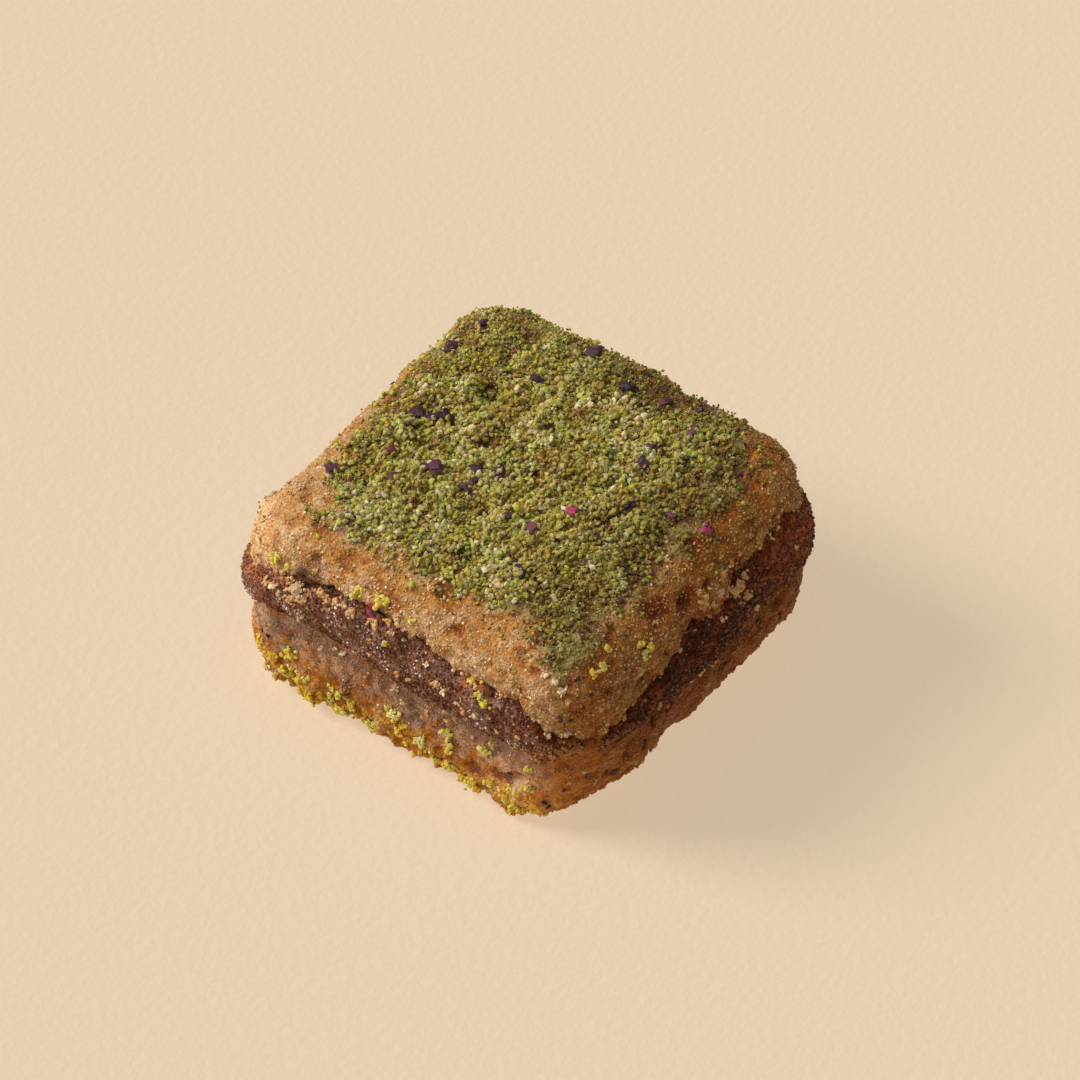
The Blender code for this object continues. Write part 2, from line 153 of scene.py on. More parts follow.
class Board:
    """Node tree of one material."""

    def __init__(self, name: str) -> None:
        """Make the material and empty its tree but for the output.

        Args:
            name: The material's name.
        """
        self.material = bpy.data.materials.new(name)
        self.material.use_nodes = True
        self.tree = self.material.node_tree
        self.tree.nodes.clear()
        self.output = self.tree.nodes.new("ShaderNodeOutputMaterial")

    def add(self, kind: str, settings: dict, values: dict) -> bpy.types.Node:
        """Add a node.

        Args:
            kind: The node's type name.
            settings: Its properties; "stops" sets a colour ramp's stops.
            values: Its inputs by name or index, each a Wire, a number or a tuple.

        Returns:
            The node.
        """
        node = self.tree.nodes.new(kind)
        for key, value in settings.items():
            if key == "stops":
                self._set_stops(node, value)
            else:
                setattr(node, key, value)
        for key, value in values.items():
            if isinstance(value, Wire):
                self.tree.links.new(value.socket, node.inputs[key])
            else:
                node.inputs[key].default_value = value
        return node

    @staticmethod
    def _set_stops(node: bpy.types.Node, stops: Stops) -> None:
        """Give a colour ramp its stops.

        Args:
            node: The ramp.
            stops: Place and colour of each stop.
        """
        elements = node.color_ramp.elements
        while len(elements) < len(stops):
            elements.new(0.5)
        for element, (place, colour) in zip(elements, stops):
            element.position = place
            element.color = (*colour, 1.0)

    def value(self, kind: str, settings: dict, values: dict, output: int | str = 0) -> Wire:
        """Add a node and return one of its outputs."""
        return Wire(self, self.add(kind, settings, values).outputs[output])

    def attribute(self, name: str) -> Wire:
        """A number kept at the vertices."""
        return self.value("ShaderNodeAttribute", {"attribute_name": name}, {}, "Fac")

    def place(self, x: float, y: float, z: float) -> Wire:
        """Object coordinates in metres, moved by X, Y and Z."""
        own = self.value("ShaderNodeTexCoord", {}, {}, "Object")
        return self.value("ShaderNodeMapping", {}, {"Vector": own, "Location": (x, y, z)})

    def clouds(self, size: float, detail: float = 2.0, shift: float = 0.0) -> Wire:
        """Noise whose features are about size metres, shifted by shift metres."""
        values = {"Vector": self.place(shift, -shift, shift), "Scale": 1.0 / size, "Detail": detail}
        return self.value("ShaderNodeTexNoise", {}, values)

    def cells(self, size: float, shift: float = 0.0) -> bpy.types.Node:
        """Cells of about size metres."""
        values = {"Vector": self.place(shift, shift, -shift), "Scale": 1.0 / size}
        return self.add("ShaderNodeTexVoronoi", {}, values)

    def away(self, cells: bpy.types.Node) -> Wire:
        """Distance from the middle of a cell, in cell widths."""
        return Wire(self, cells.outputs["Distance"])

    def chance(self, cells: bpy.types.Node) -> Wire:
        """A random number for each cell, from 0 to 1."""
        colour = Wire(self, cells.outputs["Color"])
        return self.value("ShaderNodeSeparateColor", {}, {"Color": colour})

    def step(self, value: Wire, low: float, high: float) -> Wire:
        """Smooth step from 0 at low to 1 at high."""
        values = {"Value": value, "From Min": low, "From Max": high}
        return self.value("ShaderNodeMapRange", {"interpolation_type": "SMOOTHSTEP"}, values)

    def blend(self, share: Wire | float, first: Wire | Colour, second: Wire | Colour,
              way: str = "MIX") -> Wire:
        """Mix two colours.

        Args:
            share: Share of the second, or of what the way of mixing makes of both.
            first: One colour.
            second: The other.
            way: Blend mode.

        Returns:
            The mixed colour.
        """
        ends = [end if isinstance(end, Wire) else (*end, 1.0) for end in (first, second)]
        return self.value(
            "ShaderNodeMix", {"data_type": "RGBA", "blend_type": way, "clamp_factor": True},
            {0: share, 6: ends[0], 7: ends[1]}, 2)

    def tinted(self, share: Wire, colour: Wire, tint: Colour) -> Wire:
        """Multiply a share of a colour by a tint."""
        return self.blend(share, colour, self.blend(1.0, colour, tint, "MULTIPLY"))

    def ramp(self, value: Wire, stops: Stops) -> Wire:
        """Colours along a value."""
        return self.value("ShaderNodeValToRGB", {"stops": stops}, {"Fac": value})

    def lit(self, colour: Wire, factor: Wire) -> Wire:
        """A colour made lighter or darker by a factor."""
        values = {0: colour, "Scale": factor}
        return self.value("ShaderNodeVectorMath", {"operation": "SCALE"}, values)

    def moist(self) -> Wire:
        """Share of moist, deeper-coloured crumb, in patches that all finishes have in common."""
        return self.step(self.clouds(1.9 * MM, 3.0, 0.02), 0.42, 0.60)

    def bump(self, height: Wire, depth: float) -> Wire:
        """Normal of a surface whose bumps are depth metres high."""
        values = {"Height": height, "Distance": depth, "Strength": 1.0}
        return self.value("ShaderNodeBump", {}, values)

    def close(self, colour: Wire | Colour, roughness: Wire | float, level: float, normal: Wire,
              under: Under = NONE_UNDER) -> bpy.types.Material:
        """Add the surface shader and link it to the output.

        Args:
            colour: Base colour.
            roughness: Roughness.
            level: Strength of the gloss.
            normal: Normal, with its bumps.
            under: Light that passes under the surface: its share, its reach in red, green
                and blue, and the metres by which that reach is measured.

        Returns:
            The finished material.
        """
        weight, reach, unit_reach = under
        shader = self.add("ShaderNodeBsdfPrincipled", {}, {
            "Base Color": colour if isinstance(colour, Wire) else (*colour, 1.0),
            "Roughness": roughness, "Specular IOR Level": level, "Normal": normal,
            "Subsurface Weight": weight, "Subsurface Radius": reach, "Subsurface Scale": unit_reach,
        })
        self.tree.links.new(shader.outputs[0], self.output.inputs["Surface"])
        return self.material


# --- Finishes -------------------------------------------------------------------------------


@dataclass(frozen=True)
class DoughFinish:
    """Crumbly baked dough, with ground pistachio dusted over it where the mesh says so.

    Attributes:
        name: The material's name.
        pale: Colour of sugary, raised crumbs.
        mid: Colour of the dough between.
        glow: Colour of moist, see-through dough in shallow hollows.
        deep: Colour of pits and cracks, partly painted shade in them.
        dust: Colour of fine pistachio dust.
        gap_dust_and_shade: Colour of gaps between the grains on top: dust darkened by painted
            shade.
        rust: Colour of the stained front corner.
        speck: Colour of dark specks.
        frost: Colour of sugary places.
        gold: Colour of the oily lower edge towards -Y.
        gilding: How strongly that edge shows.
        shade: What the colours are multiplied by towards +X, as painted shade on the sides that
            turn from the light.
        frost_lean: Whether sugar gathers at the upper edge, above 0, or the lower, below it.
        moisture: How strongly the moist patches show.
        glow_paling: How strongly the places of painted glow turn pale.
        smear: Colour of paste rubbed into the upper edge towards -Y.
        smearing: How strongly it shows.
        shift: Moves the patterns, so that two doughs differ.
        crumb_size: Width of the crumbs that the colours follow.
        grain_size: Width of the grains that differ in tone and gloss.
        lump_size: Width of the bumps.
        bump_depth: Height of the bumps.
    """

    name: str
    pale: Colour
    mid: Colour
    glow: Colour
    deep: Colour
    dust: Colour = (0.28, 0.235, 0.066)
    gap_dust_and_shade: Colour = (0.13, 0.058, 0.018)
    rust: Colour = (0.46, 0.145, 0.018)
    speck: Colour = (0.03, 0.015, 0.010)
    frost: Colour = (0.60, 0.41, 0.25)
    gold: Colour = (0.66, 0.36, 0.020)
    gilding: float = 0.0
    shade: Colour = (0.74, 0.565, 0.26)
    frost_lean: float = -0.3
    moisture: float = 0.55
    glow_paling: float = 0.0
    smear: Colour = (0.17, 0.070, 0.036)
    smearing: float = 0.0
    shift: float = 0.0
    crumb_size: float = 0.5 * MM
    grain_size: float = 0.20 * MM
    lump_size: float = 0.30 * MM
    bump_depth: float = 0.24 * MM

    def material(self) -> bpy.types.Material:
        """Build the material.

        Returns:
            The material.
        """
        board = Board(self.name)
        crumbs = board.clouds(self.crumb_size, 3.0, self.shift)
        pick = board.chance(board.cells(self.grain_size, self.shift))
        dough = self._rubbed(board, self._frosted(board, self._crumb(board, crumbs)))
        # Painted glow: the dough turns paler and lighter where light is made to seep through.
        dough = board.blend(board.attribute(PAINTED_GLOW) * self.glow_paling, dough, self.frost)
        # Painted shade: the dough is darkened on the sides towards +X, as if in shade.
        dough = board.tinted(board.attribute(PAINTED_SHADE), dough, self.shade)
        tone = 0.44 + crumbs * 0.5 + pick * 0.6 + board.attribute(PAINTED_GLOW) * 0.53
        dough = self._specked(board, board.lit(dough, tone))
        stained = board.step(board.attribute(RUST) + (crumbs - 0.5) * 0.7, 0.25, 0.75)
        dough = board.blend(stained * 0.8, dough, self.rust)
        lumps = 1.0 - board.away(board.cells(self.lump_size, self.shift))
        height = board.clouds(self.lump_size / 2, 2.0, self.shift) * 0.5 + lumps * 0.6
        return board.close(
            self._dusted(board, dough, crumbs), 0.62 - pick * 0.25, 0.18,
            board.bump(height, self.bump_depth), (0.15, (1.0, 0.45, 0.15), 0.8 * MM))

    def _crumb(self, board: Board, crumbs: Wire) -> Wire:
        """Colours from pits to raised crumbs, darker in pits partly as painted shade, with moist
        patches.

        Args:
            board: The material's board.
            crumbs: Pattern of the crumbs.

        Returns:
            The colour.
        """
        height = board.attribute(RELIEF) * 1.1 + (crumbs - 0.5) * 0.4 - 0.05
        stops = ((0.12, self.deep), (0.34, self.glow), (0.52, self.mid), (0.78, self.pale))
        dough = board.ramp(height.held(), stops)
        return board.blend(board.moist() * self.moisture, dough, self.glow)

    def _frosted(self, board: Board, dough: Wire) -> Wire:
        """Sugar in patches, more of it at one edge of the side.

        Args:
            board: The material's board.
            dough: The colour below.

        Returns:
            The colour.
        """
        lean = (board.attribute(RISE) - 0.5) * self.frost_lean + board.attribute(FROST) * 0.40
        frosted = board.step(board.clouds(1.5 * MM, 3.0, self.shift + 0.05) + lean, 0.82, 1.08)
        return board.blend(frosted * 0.75, dough, self.frost)

    def _rubbed(self, board: Board, dough: Wire) -> Wire:
        """Paste rubbed into the side's upper edge, and oil soaked into its lower one.

        Args:
            board: The material's board.
            dough: The colour below.

        Returns:
            The colour.
        """
        rise, side = board.attribute(RISE), board.attribute(FROST)
        paste = board.step(rise + (board.clouds(1.6 * MM, 3.0, 0.11) - 0.5) * 1.4, 0.62, 0.98)
        dough = board.blend(paste * side * self.smearing, dough, self.smear)
        low = (1.0 - board.step(rise, 0.05, 0.55)) * side
        golden = board.step(board.clouds(1.8 * MM, 3.0, self.shift + 0.08), 0.45, 0.62)
        return board.blend(low * golden * self.gilding, dough, self.gold)

    def _specked(self, board: Board, dough: Wire) -> Wire:
        """Dark specks here and there.

        Args:
            board: The material's board.
            dough: The colour below.

        Returns:
            The colour.
        """
        spots = board.cells(1.4 * MM, self.shift + 0.01)
        near = 1.0 - board.step(board.away(spots), 0.05, 0.09)
        some = board.step(board.chance(spots), 0.60, 0.65)
        return board.blend(near * some * 0.8, dough, self.speck)

    def _dusted(self, board: Board, dough: Wire, crumbs: Wire) -> Wire:
        """Pistachio dust where the meal lies, darker in low places as painted shade.

        Args:
            board: The material's board.
            dough: The colour below.
            crumbs: Pattern of the crumbs.

        Returns:
            The colour.
        """
        # Painted shade: the dust is darker in low places.
        thin = board.step(board.attribute(RELIEF) * 0.6 + crumbs * 0.5, 0.35, 0.8)
        dust = board.blend(thin, self.gap_dust_and_shade, self.dust)
        coat = board.step(board.attribute(MEAL) + (crumbs - 0.5) * 0.6, 0.3, 0.8)
        return board.blend(coat * 0.95, dough, dust)


@dataclass(frozen=True)
class DateFinish:
    """Dark, moist date paste with a sugary frosting.

    Attributes:
        name: The material's name.
        dark: Colour of hollows.
        mid: Colour of the paste.
        ruby: Colour of its thin places, and of the painted glow where light is made to seep
            through.
        frost: Colour of the sugar on it.
        rust: Colour of the dough smeared over its front corner.
        shade: What the colours are multiplied by towards +X, as painted shade on the sides that
            turn from the light.
        granule_size: Width of the lumps that the colours follow.
        grain_size: Width of the sugar grains.
        bump_depth: Height of the bumps.
    """

    name: str
    dark: Colour = (0.030, 0.006, 0.002)
    mid: Colour = (0.140, 0.034, 0.007)
    ruby: Colour = (0.38, 0.105, 0.026)
    frost: Colour = (0.31, 0.187, 0.130)
    rust: Colour = (0.44, 0.145, 0.022)
    shade: Colour = (0.98, 0.68, 0.38)
    granule_size: float = 0.45 * MM
    grain_size: float = 0.20 * MM
    bump_depth: float = 0.19 * MM

    def material(self) -> bpy.types.Material:
        """Build the material.

        Returns:
            The material.
        """
        board = Board(self.name)
        granules = board.clouds(self.granule_size, 3.0)
        pick = board.chance(board.cells(self.grain_size, 0.03))
        colour = board.blend(self._sugar(board, pick), self._paste(board, granules), self.frost)
        colour = board.lit(colour, 0.44 + granules * 0.5 + pick * 0.54)
        low = board.step(board.attribute(RISE) + (granules - 0.5) * 0.5, 0.30, 0.05)
        colour = board.blend(low * 0.5, colour, self.frost)
        # Painted shade: the paste is darkened on the sides towards +X, as if in shade.
        colour = board.tinted(board.attribute(PAINTED_SHADE), colour, self.shade)
        stained = board.step(board.attribute(RUST) + (granules - 0.5) * 0.5, 0.15, 0.5)
        colour = board.blend(stained * 0.95, colour, self.rust)
        height = board.clouds(0.16 * MM, 2.0) * 0.5 + granules * 0.6
        return board.close(
            colour, 0.38 + granules * 0.2, 0.2, board.bump(height, self.bump_depth),
            (0.08, (1.0, 0.3, 0.1), 0.6 * MM))

    def _paste(self, board: Board, granules: Wire) -> Wire:
        """Colours from hollows to thin places, with painted glow where light is made to seep
        through.

        Args:
            board: The material's board.
            granules: Pattern of the lumps.

        Returns:
            The colour.
        """
        patches = board.clouds(3.0 * MM, 2.0, 0.02)
        height = (board.attribute(RELIEF) * 0.6 + (granules - 0.5) * 0.9
                  + (patches - 0.5) * 1.1 + 0.2)
        paste = board.ramp(height.held(), ((0.2, self.dark), (0.5, self.mid), (1.0, self.ruby)))
        # Painted glow: ruby where light is made to seep through.
        return board.blend(board.attribute(PAINTED_GLOW), paste, self.ruby)

    @staticmethod
    def _sugar(board: Board, pick: Wire) -> Wire:
        """Share of sugar, in patches of single grains.

        Args:
            board: The material's board.
            pick: A random number for each grain.

        Returns:
            The share.
        """
        side = board.attribute(FROST)
        frosty = board.step(board.clouds(2.0 * MM, 3.0, 0.05) + side * 0.2, 0.54, 0.74)
        return (board.step(pick, 0.60, 0.98) * 0.5 + 0.4) * (frosty * 0.95 + 0.05) * side * 0.9


@dataclass(frozen=True)
class GrainFinish:
    """Loose grains, each with its own tint along a row of colours.

    Attributes:
        name: The material's name.
        stops: Colours along the tint.
        hue: Colour by which moist patches are multiplied.
        roughness: Roughness of a grain.
        glow: Share of light that passes under the surface.
        dimming: How much darker the grains are painted along the rims that turn from the light, as
            painted shade.
    """

    name: str
    stops: Stops
    hue: Colour = (1.0, 1.0, 1.0)
    roughness: float = 0.62
    glow: float = 0.15
    dimming: float = 0.0

    def material(self) -> bpy.types.Material:
        """Build the material.

        Returns:
            The material.
        """
        board = Board(self.name)
        mottle = board.clouds(0.22 * MM, 2.0)
        colour = board.ramp(board.attribute(TINT), self.stops)
        colour = board.tinted(board.moist(), colour, self.hue)
        # Painted shade darkens grains on the rims that turn from the light.
        colour = board.lit(colour, 0.78 + mottle * 0.44 - board.attribute(PAINTED_SHADE) * self.dimming)
        return board.close(
            colour, self.roughness + (mottle - 0.5) * 0.2, 0.2, board.bump(mottle, 0.05 * MM),
            (self.glow, (1.0, 0.8, 0.3), 0.4 * MM))


LID_DOUGH = DoughFinish(
    "lid_dough", (0.56, 0.352, 0.188), (0.45, 0.248, 0.104), (0.44, 0.184, 0.034),
    (0.27, 0.072, 0.010), frost=(0.58, 0.385, 0.215), moisture=0.42, glow_paling=0.4)
BASE_DOUGH = DoughFinish(
    "base_dough", (0.54, 0.32, 0.110), (0.41, 0.175, 0.030), (0.37, 0.115, 0.004),
    (0.13, 0.028, 0.003), frost=(0.44, 0.285, 0.19), gilding=0.9, frost_lean=0.40, moisture=1.0,
    glow_paling=0.15, smearing=0.75, shift=0.013)
DATE_PASTE = DateFinish("date_paste")
MEAL_GRAINS = GrainFinish("pistachio_meal", (
    (0.0, (0.15, 0.065, 0.022)), (0.25, (0.27, 0.165, 0.045)), (0.42, (0.33, 0.275, 0.050)),
    (0.52, (0.34, 0.325, 0.034)), (0.66, (0.43, 0.350, 0.165)), (0.8, (0.46, 0.450, 0.080)),
    (0.9, (0.56, 0.500, 0.260)), (1.0, (0.70, 0.640, 0.420)),
), (1.0, 0.84, 0.68), roughness=0.45, glow=0.6, dimming=0.25)
NIB_GREENS = GrainFinish("pistachio_nibs", (
    (0.0, (0.08, 0.15, 0.030)), (0.3, (0.20, 0.28, 0.040)), (0.5, (0.40, 0.42, 0.045)),
    (0.75, (0.54, 0.42, 0.035)), (1.0, (0.60, 0.50, 0.10)),
), roughness=0.45, glow=0.4, dimming=0.25)
SKIN_PURPLES = GrainFinish("pistachio_skin", (
    (0.0, (0.028, 0.014, 0.019)), (0.5, (0.080, 0.028, 0.034)), (0.8, (0.15, 0.050, 0.064)),
    (0.9, (0.24, 0.03, 0.06)), (1.0, (0.36, 0.04, 0.10)),
), roughness=0.4, glow=0.0)
DOUGH_CRUMBS = GrainFinish("dough_crumbs", (
    (0.0, (0.40, 0.17, 0.045)), (0.4, (0.52, 0.29, 0.12)), (0.75, (0.66, 0.43, 0.22)),
    (0.95, (0.76, 0.56, 0.34)), (1.0, (0.88, 0.74, 0.54)),
), (0.98, 0.80, 0.48), roughness=0.45)
DATE_GRANULES = GrainFinish("date_granules", (
    (0.0, (0.060, 0.012, 0.003)), (0.40, (0.155, 0.040, 0.013)), (0.65, (0.23, 0.110, 0.070)),
    (0.85, (0.43, 0.28, 0.215)), (1.0, (0.80, 0.64, 0.54)),
), (1.0, 0.85, 0.76), roughness=0.35)
CLUMP_YELLOWS = GrainFinish("meal_clumps", (
    (0.0, (0.52, 0.23, 0.012)), (0.3, (0.64, 0.40, 0.030)), (0.6, (0.67, 0.53, 0.09)),
    (0.8, (0.60, 0.54, 0.08)), (1.0, (0.78, 0.66, 0.28)),
), (1.0, 0.86, 0.55), roughness=0.5, glow=0.5)


# --- Meshes ---------------------------------------------------------------------------------


def deselect() -> None:
    """Deselect everything."""
    for piece in bpy.context.view_layer.objects:
        piece.select_set(False)


def only(piece: bpy.types.Object) -> None:
    """Deselect everything, then select one piece and make it active.

    Args:
        piece: The piece.
    """
    deselect()
    piece.select_set(True)
    bpy.context.view_layer.objects.active = piece


def read(items: bpy.types.bpy_prop_collection, name: str, width: int = 1,
         kind: type = np.int32) -> Array:
    """Read one property of all items of a mesh.

    Args:
        items: Its vertices, faces or the like.
        name: The property.
        width: How many numbers each item has.
        kind: What kind of numbers they are.

    Returns:
        The numbers, as rows where each item has several.
    """
    found = np.empty(len(items) * width, kind)
    items.foreach_get(name, found)
    return found if width == 1 else found.reshape(-1, width)


def places(mesh: bpy.types.Mesh) -> Array:
    """Vertex places as rows."""
    return read(mesh.vertices, "co", 3, np.float32).astype(float)


def directions(mesh: bpy.types.Mesh) -> Array:
    """Vertex normals as rows."""
    return read(mesh.vertex_normals, "vector", 3, np.float32).astype(float)


def store(mesh: bpy.types.Mesh, name: str, values: Array) -> None:
    """Keep one number at each vertex."""
    layer = mesh.attributes.new(name, "FLOAT", "POINT")
    layer.data.foreach_set("value", values.astype(np.float32))


def lay_map(mesh: bpy.types.Mesh, spots: Array) -> None:
    """Give the face corners their places on the mesh's own map."""
    layer = mesh.uv_layers.new(name=BAKE_MAP)
    layer.uv.foreach_set("vector", spots.astype(np.float32).ravel())


def unit(rows: Array) -> Array:
    """Rows scaled to a length of 1."""
    return rows / np.linalg.norm(rows, axis=1)[:, None]


def eased(values: Array, low: float, high: float) -> Array:
    """Smooth step from 0 at low to 1 at high."""
    share = np.clip((values - low) / (high - low), 0.0, 1.0)
    return share * share * (3.0 - 2.0 * share)


def bell(points: Array, middle: Sequence[float], reach: float) -> Array:
    """1 at a middle given in mm, and falling off over reach metres about it."""
    away = np.linalg.norm(points - np.array(middle) * MM, axis=1) / reach
    return np.exp(-away * away)


def ripples(points: Array, size: float, shift: float) -> Array:
    """Smooth uneven values from -1 to 1, size metres wide, in a pattern of their own by shift."""
    offset = Vector((shift, -shift, shift))
    return np.array([noise.noise(Vector(point / size) + offset) for point in points])


def pebbles(points: Array, size: float, shift: float) -> Array:
    """Rounded bumps about size metres across: 1 on top of each and 0 between them.

    Args:
        points: Places as rows.
        size: Width of a bump.
        shift: Number that sets one pattern apart from another.

    Returns:
        One value for each place.
    """
    offset = Vector((shift, shift, -shift))
    nearest = [noise.voronoi(Vector(point / size) + offset)[0][0] for point in points]
    return 1.0 - np.clip(np.array(nearest), 0.0, 1.0)


def side_rise(points: Array, normals: Array, sectors: int = 90) -> Array:
    """Height of each vertex within its layer's side: 0 at the lower edge, 1 at the upper.

    Args:
        points: Places as rows.
        normals: Their normals.
        sectors: Bearings at which the edges are found.

    Returns:
        One value for each place.
    """
    bearing = (np.arctan2(points[:, 1], points[:, 0]) / math.tau + 0.5) * sectors
    sector = np.minimum(bearing.astype(int), sectors - 1)
    upright = np.abs(normals[:, 2]) < 0.7
    edges = np.empty((sectors, 2))
    for number in range(sectors):
        edges[number] = np.percentile(points[upright & (sector == number), 2], (3, 97))
    middles = np.arange(sectors) + 0.5
    lower, upper = (np.interp(bearing, middles, edge, period=sectors) for edge in edges.T)
    return np.clip((points[:, 2] - lower) / (upper - lower), 0.0, 1.0)


# --- Where things lie -----------------------------------------------------------------------

STAIN = (18.0, -17.4, 8.0)              # the rusty spot on the front corner, in mm
STAIN_REACH = 3.5 * MM
# Painted glow, where colour is lightened as if light seeped through: X, Y and Z in mm, and how
# strongly.
DOUGH_PAINTED_GLOWS = ((-20.0, -17.5, 16.5, 1.25), (-19.0, -16.0, 5.0, 0.5), (16.8, -18.5, 3.0, 1.3))
DATE_PAINTED_GLOWS = ((20.0, 15.0, 12.0, 1.0), (-19.0, -18.0, 12.5, 1.0))
PAINTED_GLOW_REACH = 6.5 * MM
MEAL_FRONT = -14.9 * MM                 # the green ends about here towards -Y
# The field's other edges: a point of each in mm, and the direction in which the field lies.
MEAL_EDGES = (
    (-16.7, -4.4, 0.871, 0.492), (-16.8, 2.0, 0.99, 0.12), (16.4, 0.0, -1.0, 0.0),
    (14.7, 14.7, -0.707, -0.707),
)
MEAL_FADE = 3.2 * MM
MEAL_WANDER = ((2.6 * MM, 1.5 * MM), (1.1 * MM, 1.0 * MM))   # width and depth of its bays
NOSE = (19.0 * MM, -18.0 * MM)          # the front corner, where dust runs further down
NOSE_REACH = 8.0 * MM
NOSE_RUN = 2.5 * MM

# Torn hollows in the sides and rims: X, Y, Z, reach and depth in mm.
DIMPLES = (
    (-10.0, -19.3, 16.5, 1.3, 0.9), (-7.9, -19.1, 16.4, 0.9, 0.8), (2.9, -15.6, 19.8, 1.0, 0.6),
    (1.8, -13.9, 20.2, 0.9, 0.7), (-1.3, -18.6, 18.4, 1.2, 0.4), (18.0, -5.7, 18.3, 1.2, 0.7),
    (18.9, -2.1, 17.2, 0.9, 1.4), (0.6, -19.7, 15.7, 0.8, 0.5), (10.6, -19.4, 14.7, 0.7, 0.5),
    (11.7, -19.5, 14.5, 0.7, 0.5), (-5.5, -19.7, 3.9, 2.4, 0.5), (1.6, -19.8, 5.8, 0.9, 0.5),
    (8.2, -19.7, 3.8, 1.0, 0.6), (-12.4, -19.7, 8.2, 1.4, 0.4), (-3.0, -20.4, 15.3, 0.8, 0.5),
    (16.7, 2.0, 19.6, 0.9, 0.7), (19.4, 5.3, 15.9, 1.0, 0.7), (-9.3, 6.6, 19.5, 1.2, 0.9),
    (-8.7, 1.7, 20.2, 0.8, 0.6), (-5.7, 1.0, 20.3, 0.8, 0.6), (2.6, -12.1, 20.5, 1.3, 0.7),
    (5.6, -10.3, 20.2, 0.6, 0.5), (-10.8, -16.1, 20.1, 0.8, 0.5), (-13.9, -16.7, 19.6, 0.8, 0.4),
    (13.9, -9.8, 20.1, 0.8, 0.5), (3.6, -15.9, 19.9, 0.9, 0.5), (-15.1, 0.8, 20.0, 0.7, 0.4),
    (14.1, -2.7, 20.0, 0.8, 0.5), (-14.5, -13.9, 19.8, 0.7, 0.4), (-7.3, -17.5, 19.2, 0.9, 0.5),
    (12.1, -17.7, 19.2, 0.8, 0.4), (-17.4, -18.5, 15.9, 0.6, 0.4),
)


def dimple_depth(points: Array) -> Array:
    """Depth of the torn hollows at each place."""
    return sum(deep * MM * bell(points, middle, reach * MM) for *middle, reach, deep in DIMPLES)


def front_stain(points: Array) -> Array:
    """Share of rusty stain: strongest on the front corner, at the height of the date."""
    return bell(points, STAIN, STAIN_REACH)


def painted_glow_share(points: Array, spots: Spots) -> Array:
    """Share of painted glow about some spots, lightening colour as if light seeped through."""
    return np.max([strong * bell(points, spot, PAINTED_GLOW_REACH) for *spot, strong in spots], axis=0)


def sugar_share(normals: Array) -> Array:
    """Share of sugar on a side: much towards -Y, little elsewhere."""
    return 0.25 + 0.75 * eased(-normals[:, 1], 0.3, 0.8)


def painted_shade_share(points: Array, normals: Array) -> Array:
    """Share of painted shade: on the sides towards +X, and on the rims of the top beside them,
    which turn from the light.
    """
    rim = eased(points[:, 0] + 0.5 * points[:, 1], 12.0 * MM, 20.0 * MM)
    return np.maximum(eased(normals[:, 0], 0.15, 0.8), eased(normals[:, 2], 0.4, 0.8) * rim)


def front_share(points: Array) -> Array:
    """1 near the front corner, 0 further back."""
    return eased(points[:, 0] - points[:, 1], 14.0 * MM, 27.0 * MM)


def far_share(points: Array) -> Array:
    """1 at the far corner, where the meal is fine and even, 0 in the middle."""
    return eased(points[:, 1] - points[:, 0], 14.0 * MM, 30.0 * MM)


def dim_share(points: Array) -> Array:
    """1 along the top's rims towards +X and +Y, which turn away from the light, 0 further in."""
    back = eased(points[:, 1], 11.0 * MM, 16.0 * MM) * (1.0 - far_share(points))
    return np.maximum(eased(points[:, 0], 5.0 * MM, 15.0 * MM), back)


def rim_share(points: Array) -> Array:
    """1 near the rims of the top, 0 further in."""
    return eased(np.maximum(np.abs(points[:, 0]), np.abs(points[:, 1])), 13.5 * MM, 18.0 * MM)


def meal_margin(points: Array) -> Array:
    """Distance inside the edge of the strewn field, below 0 outside it.

    Args:
        points: Places as rows.

    Returns:
        One distance for each place.
    """
    nose = np.hypot(points[:, 0] - NOSE[0], points[:, 1] - NOSE[1])
    front = MEAL_FRONT - NOSE_RUN * (1.0 - eased(nose, 0.3 * NOSE_REACH, NOSE_REACH))
    margin = points[:, 1] - front
    for x, y, inward_x, inward_y in MEAL_EDGES:
        inside = (points[:, 0] - x * MM) * inward_x + (points[:, 1] - y * MM) * inward_y
        margin = np.minimum(margin, inside)
    for index, (size, depth) in enumerate(MEAL_WANDER):
        margin = margin + ripples(points, size, 21.0 + 2.0 * index) * depth
    return margin


def meal_clumps(points: Array) -> Array:
    """1 where the meal lies in a small heap, 0 in the thin places between."""
    return eased(ripples(points, 1.9 * MM, 31.0), -0.40, 0.25)


def meal_cover(points: Array, normals: Array) -> Array:
    """Share of pistachio on the lid: 1 in the field, fading at its edge and down the sides."""
    return eased(meal_margin(points), -MEAL_FADE, MEAL_FADE) * eased(normals[:, 2], 0.1, 0.6)


def clumped_share(points: Array, normals: Array) -> Array:
    """Share of coarse grains: in small heaps, and fewer towards the rims.

    Args:
        points: Places as rows.
        normals: Their normals.

    Returns:
        One share for each place.
    """
    share = meal_cover(points, normals) ** 1.3 * (0.25 + 0.75 * meal_clumps(points))
    fine = np.maximum(0.8 * front_share(points), 0.5 * dim_share(points))
    return share * (1.0 - fine) * (1.0 - 0.85 * rim_share(points))


def dusted_share(points: Array, normals: Array) -> Array:
    """Share of finer grains: over the field but for some holes, and a few beyond it.

    Args:
        points: Places as rows.
        normals: Their normals.

    Returns:
        One share for each place.
    """
    holes = eased(ripples(points, 1.9 * MM, 33.0), -0.62, -0.30)
    cover = meal_cover(points, normals) ** 1.2 * (0.15 + 0.85 * holes)
    return 0.03 + cover * (1.0 - 0.4 * rim_share(points))


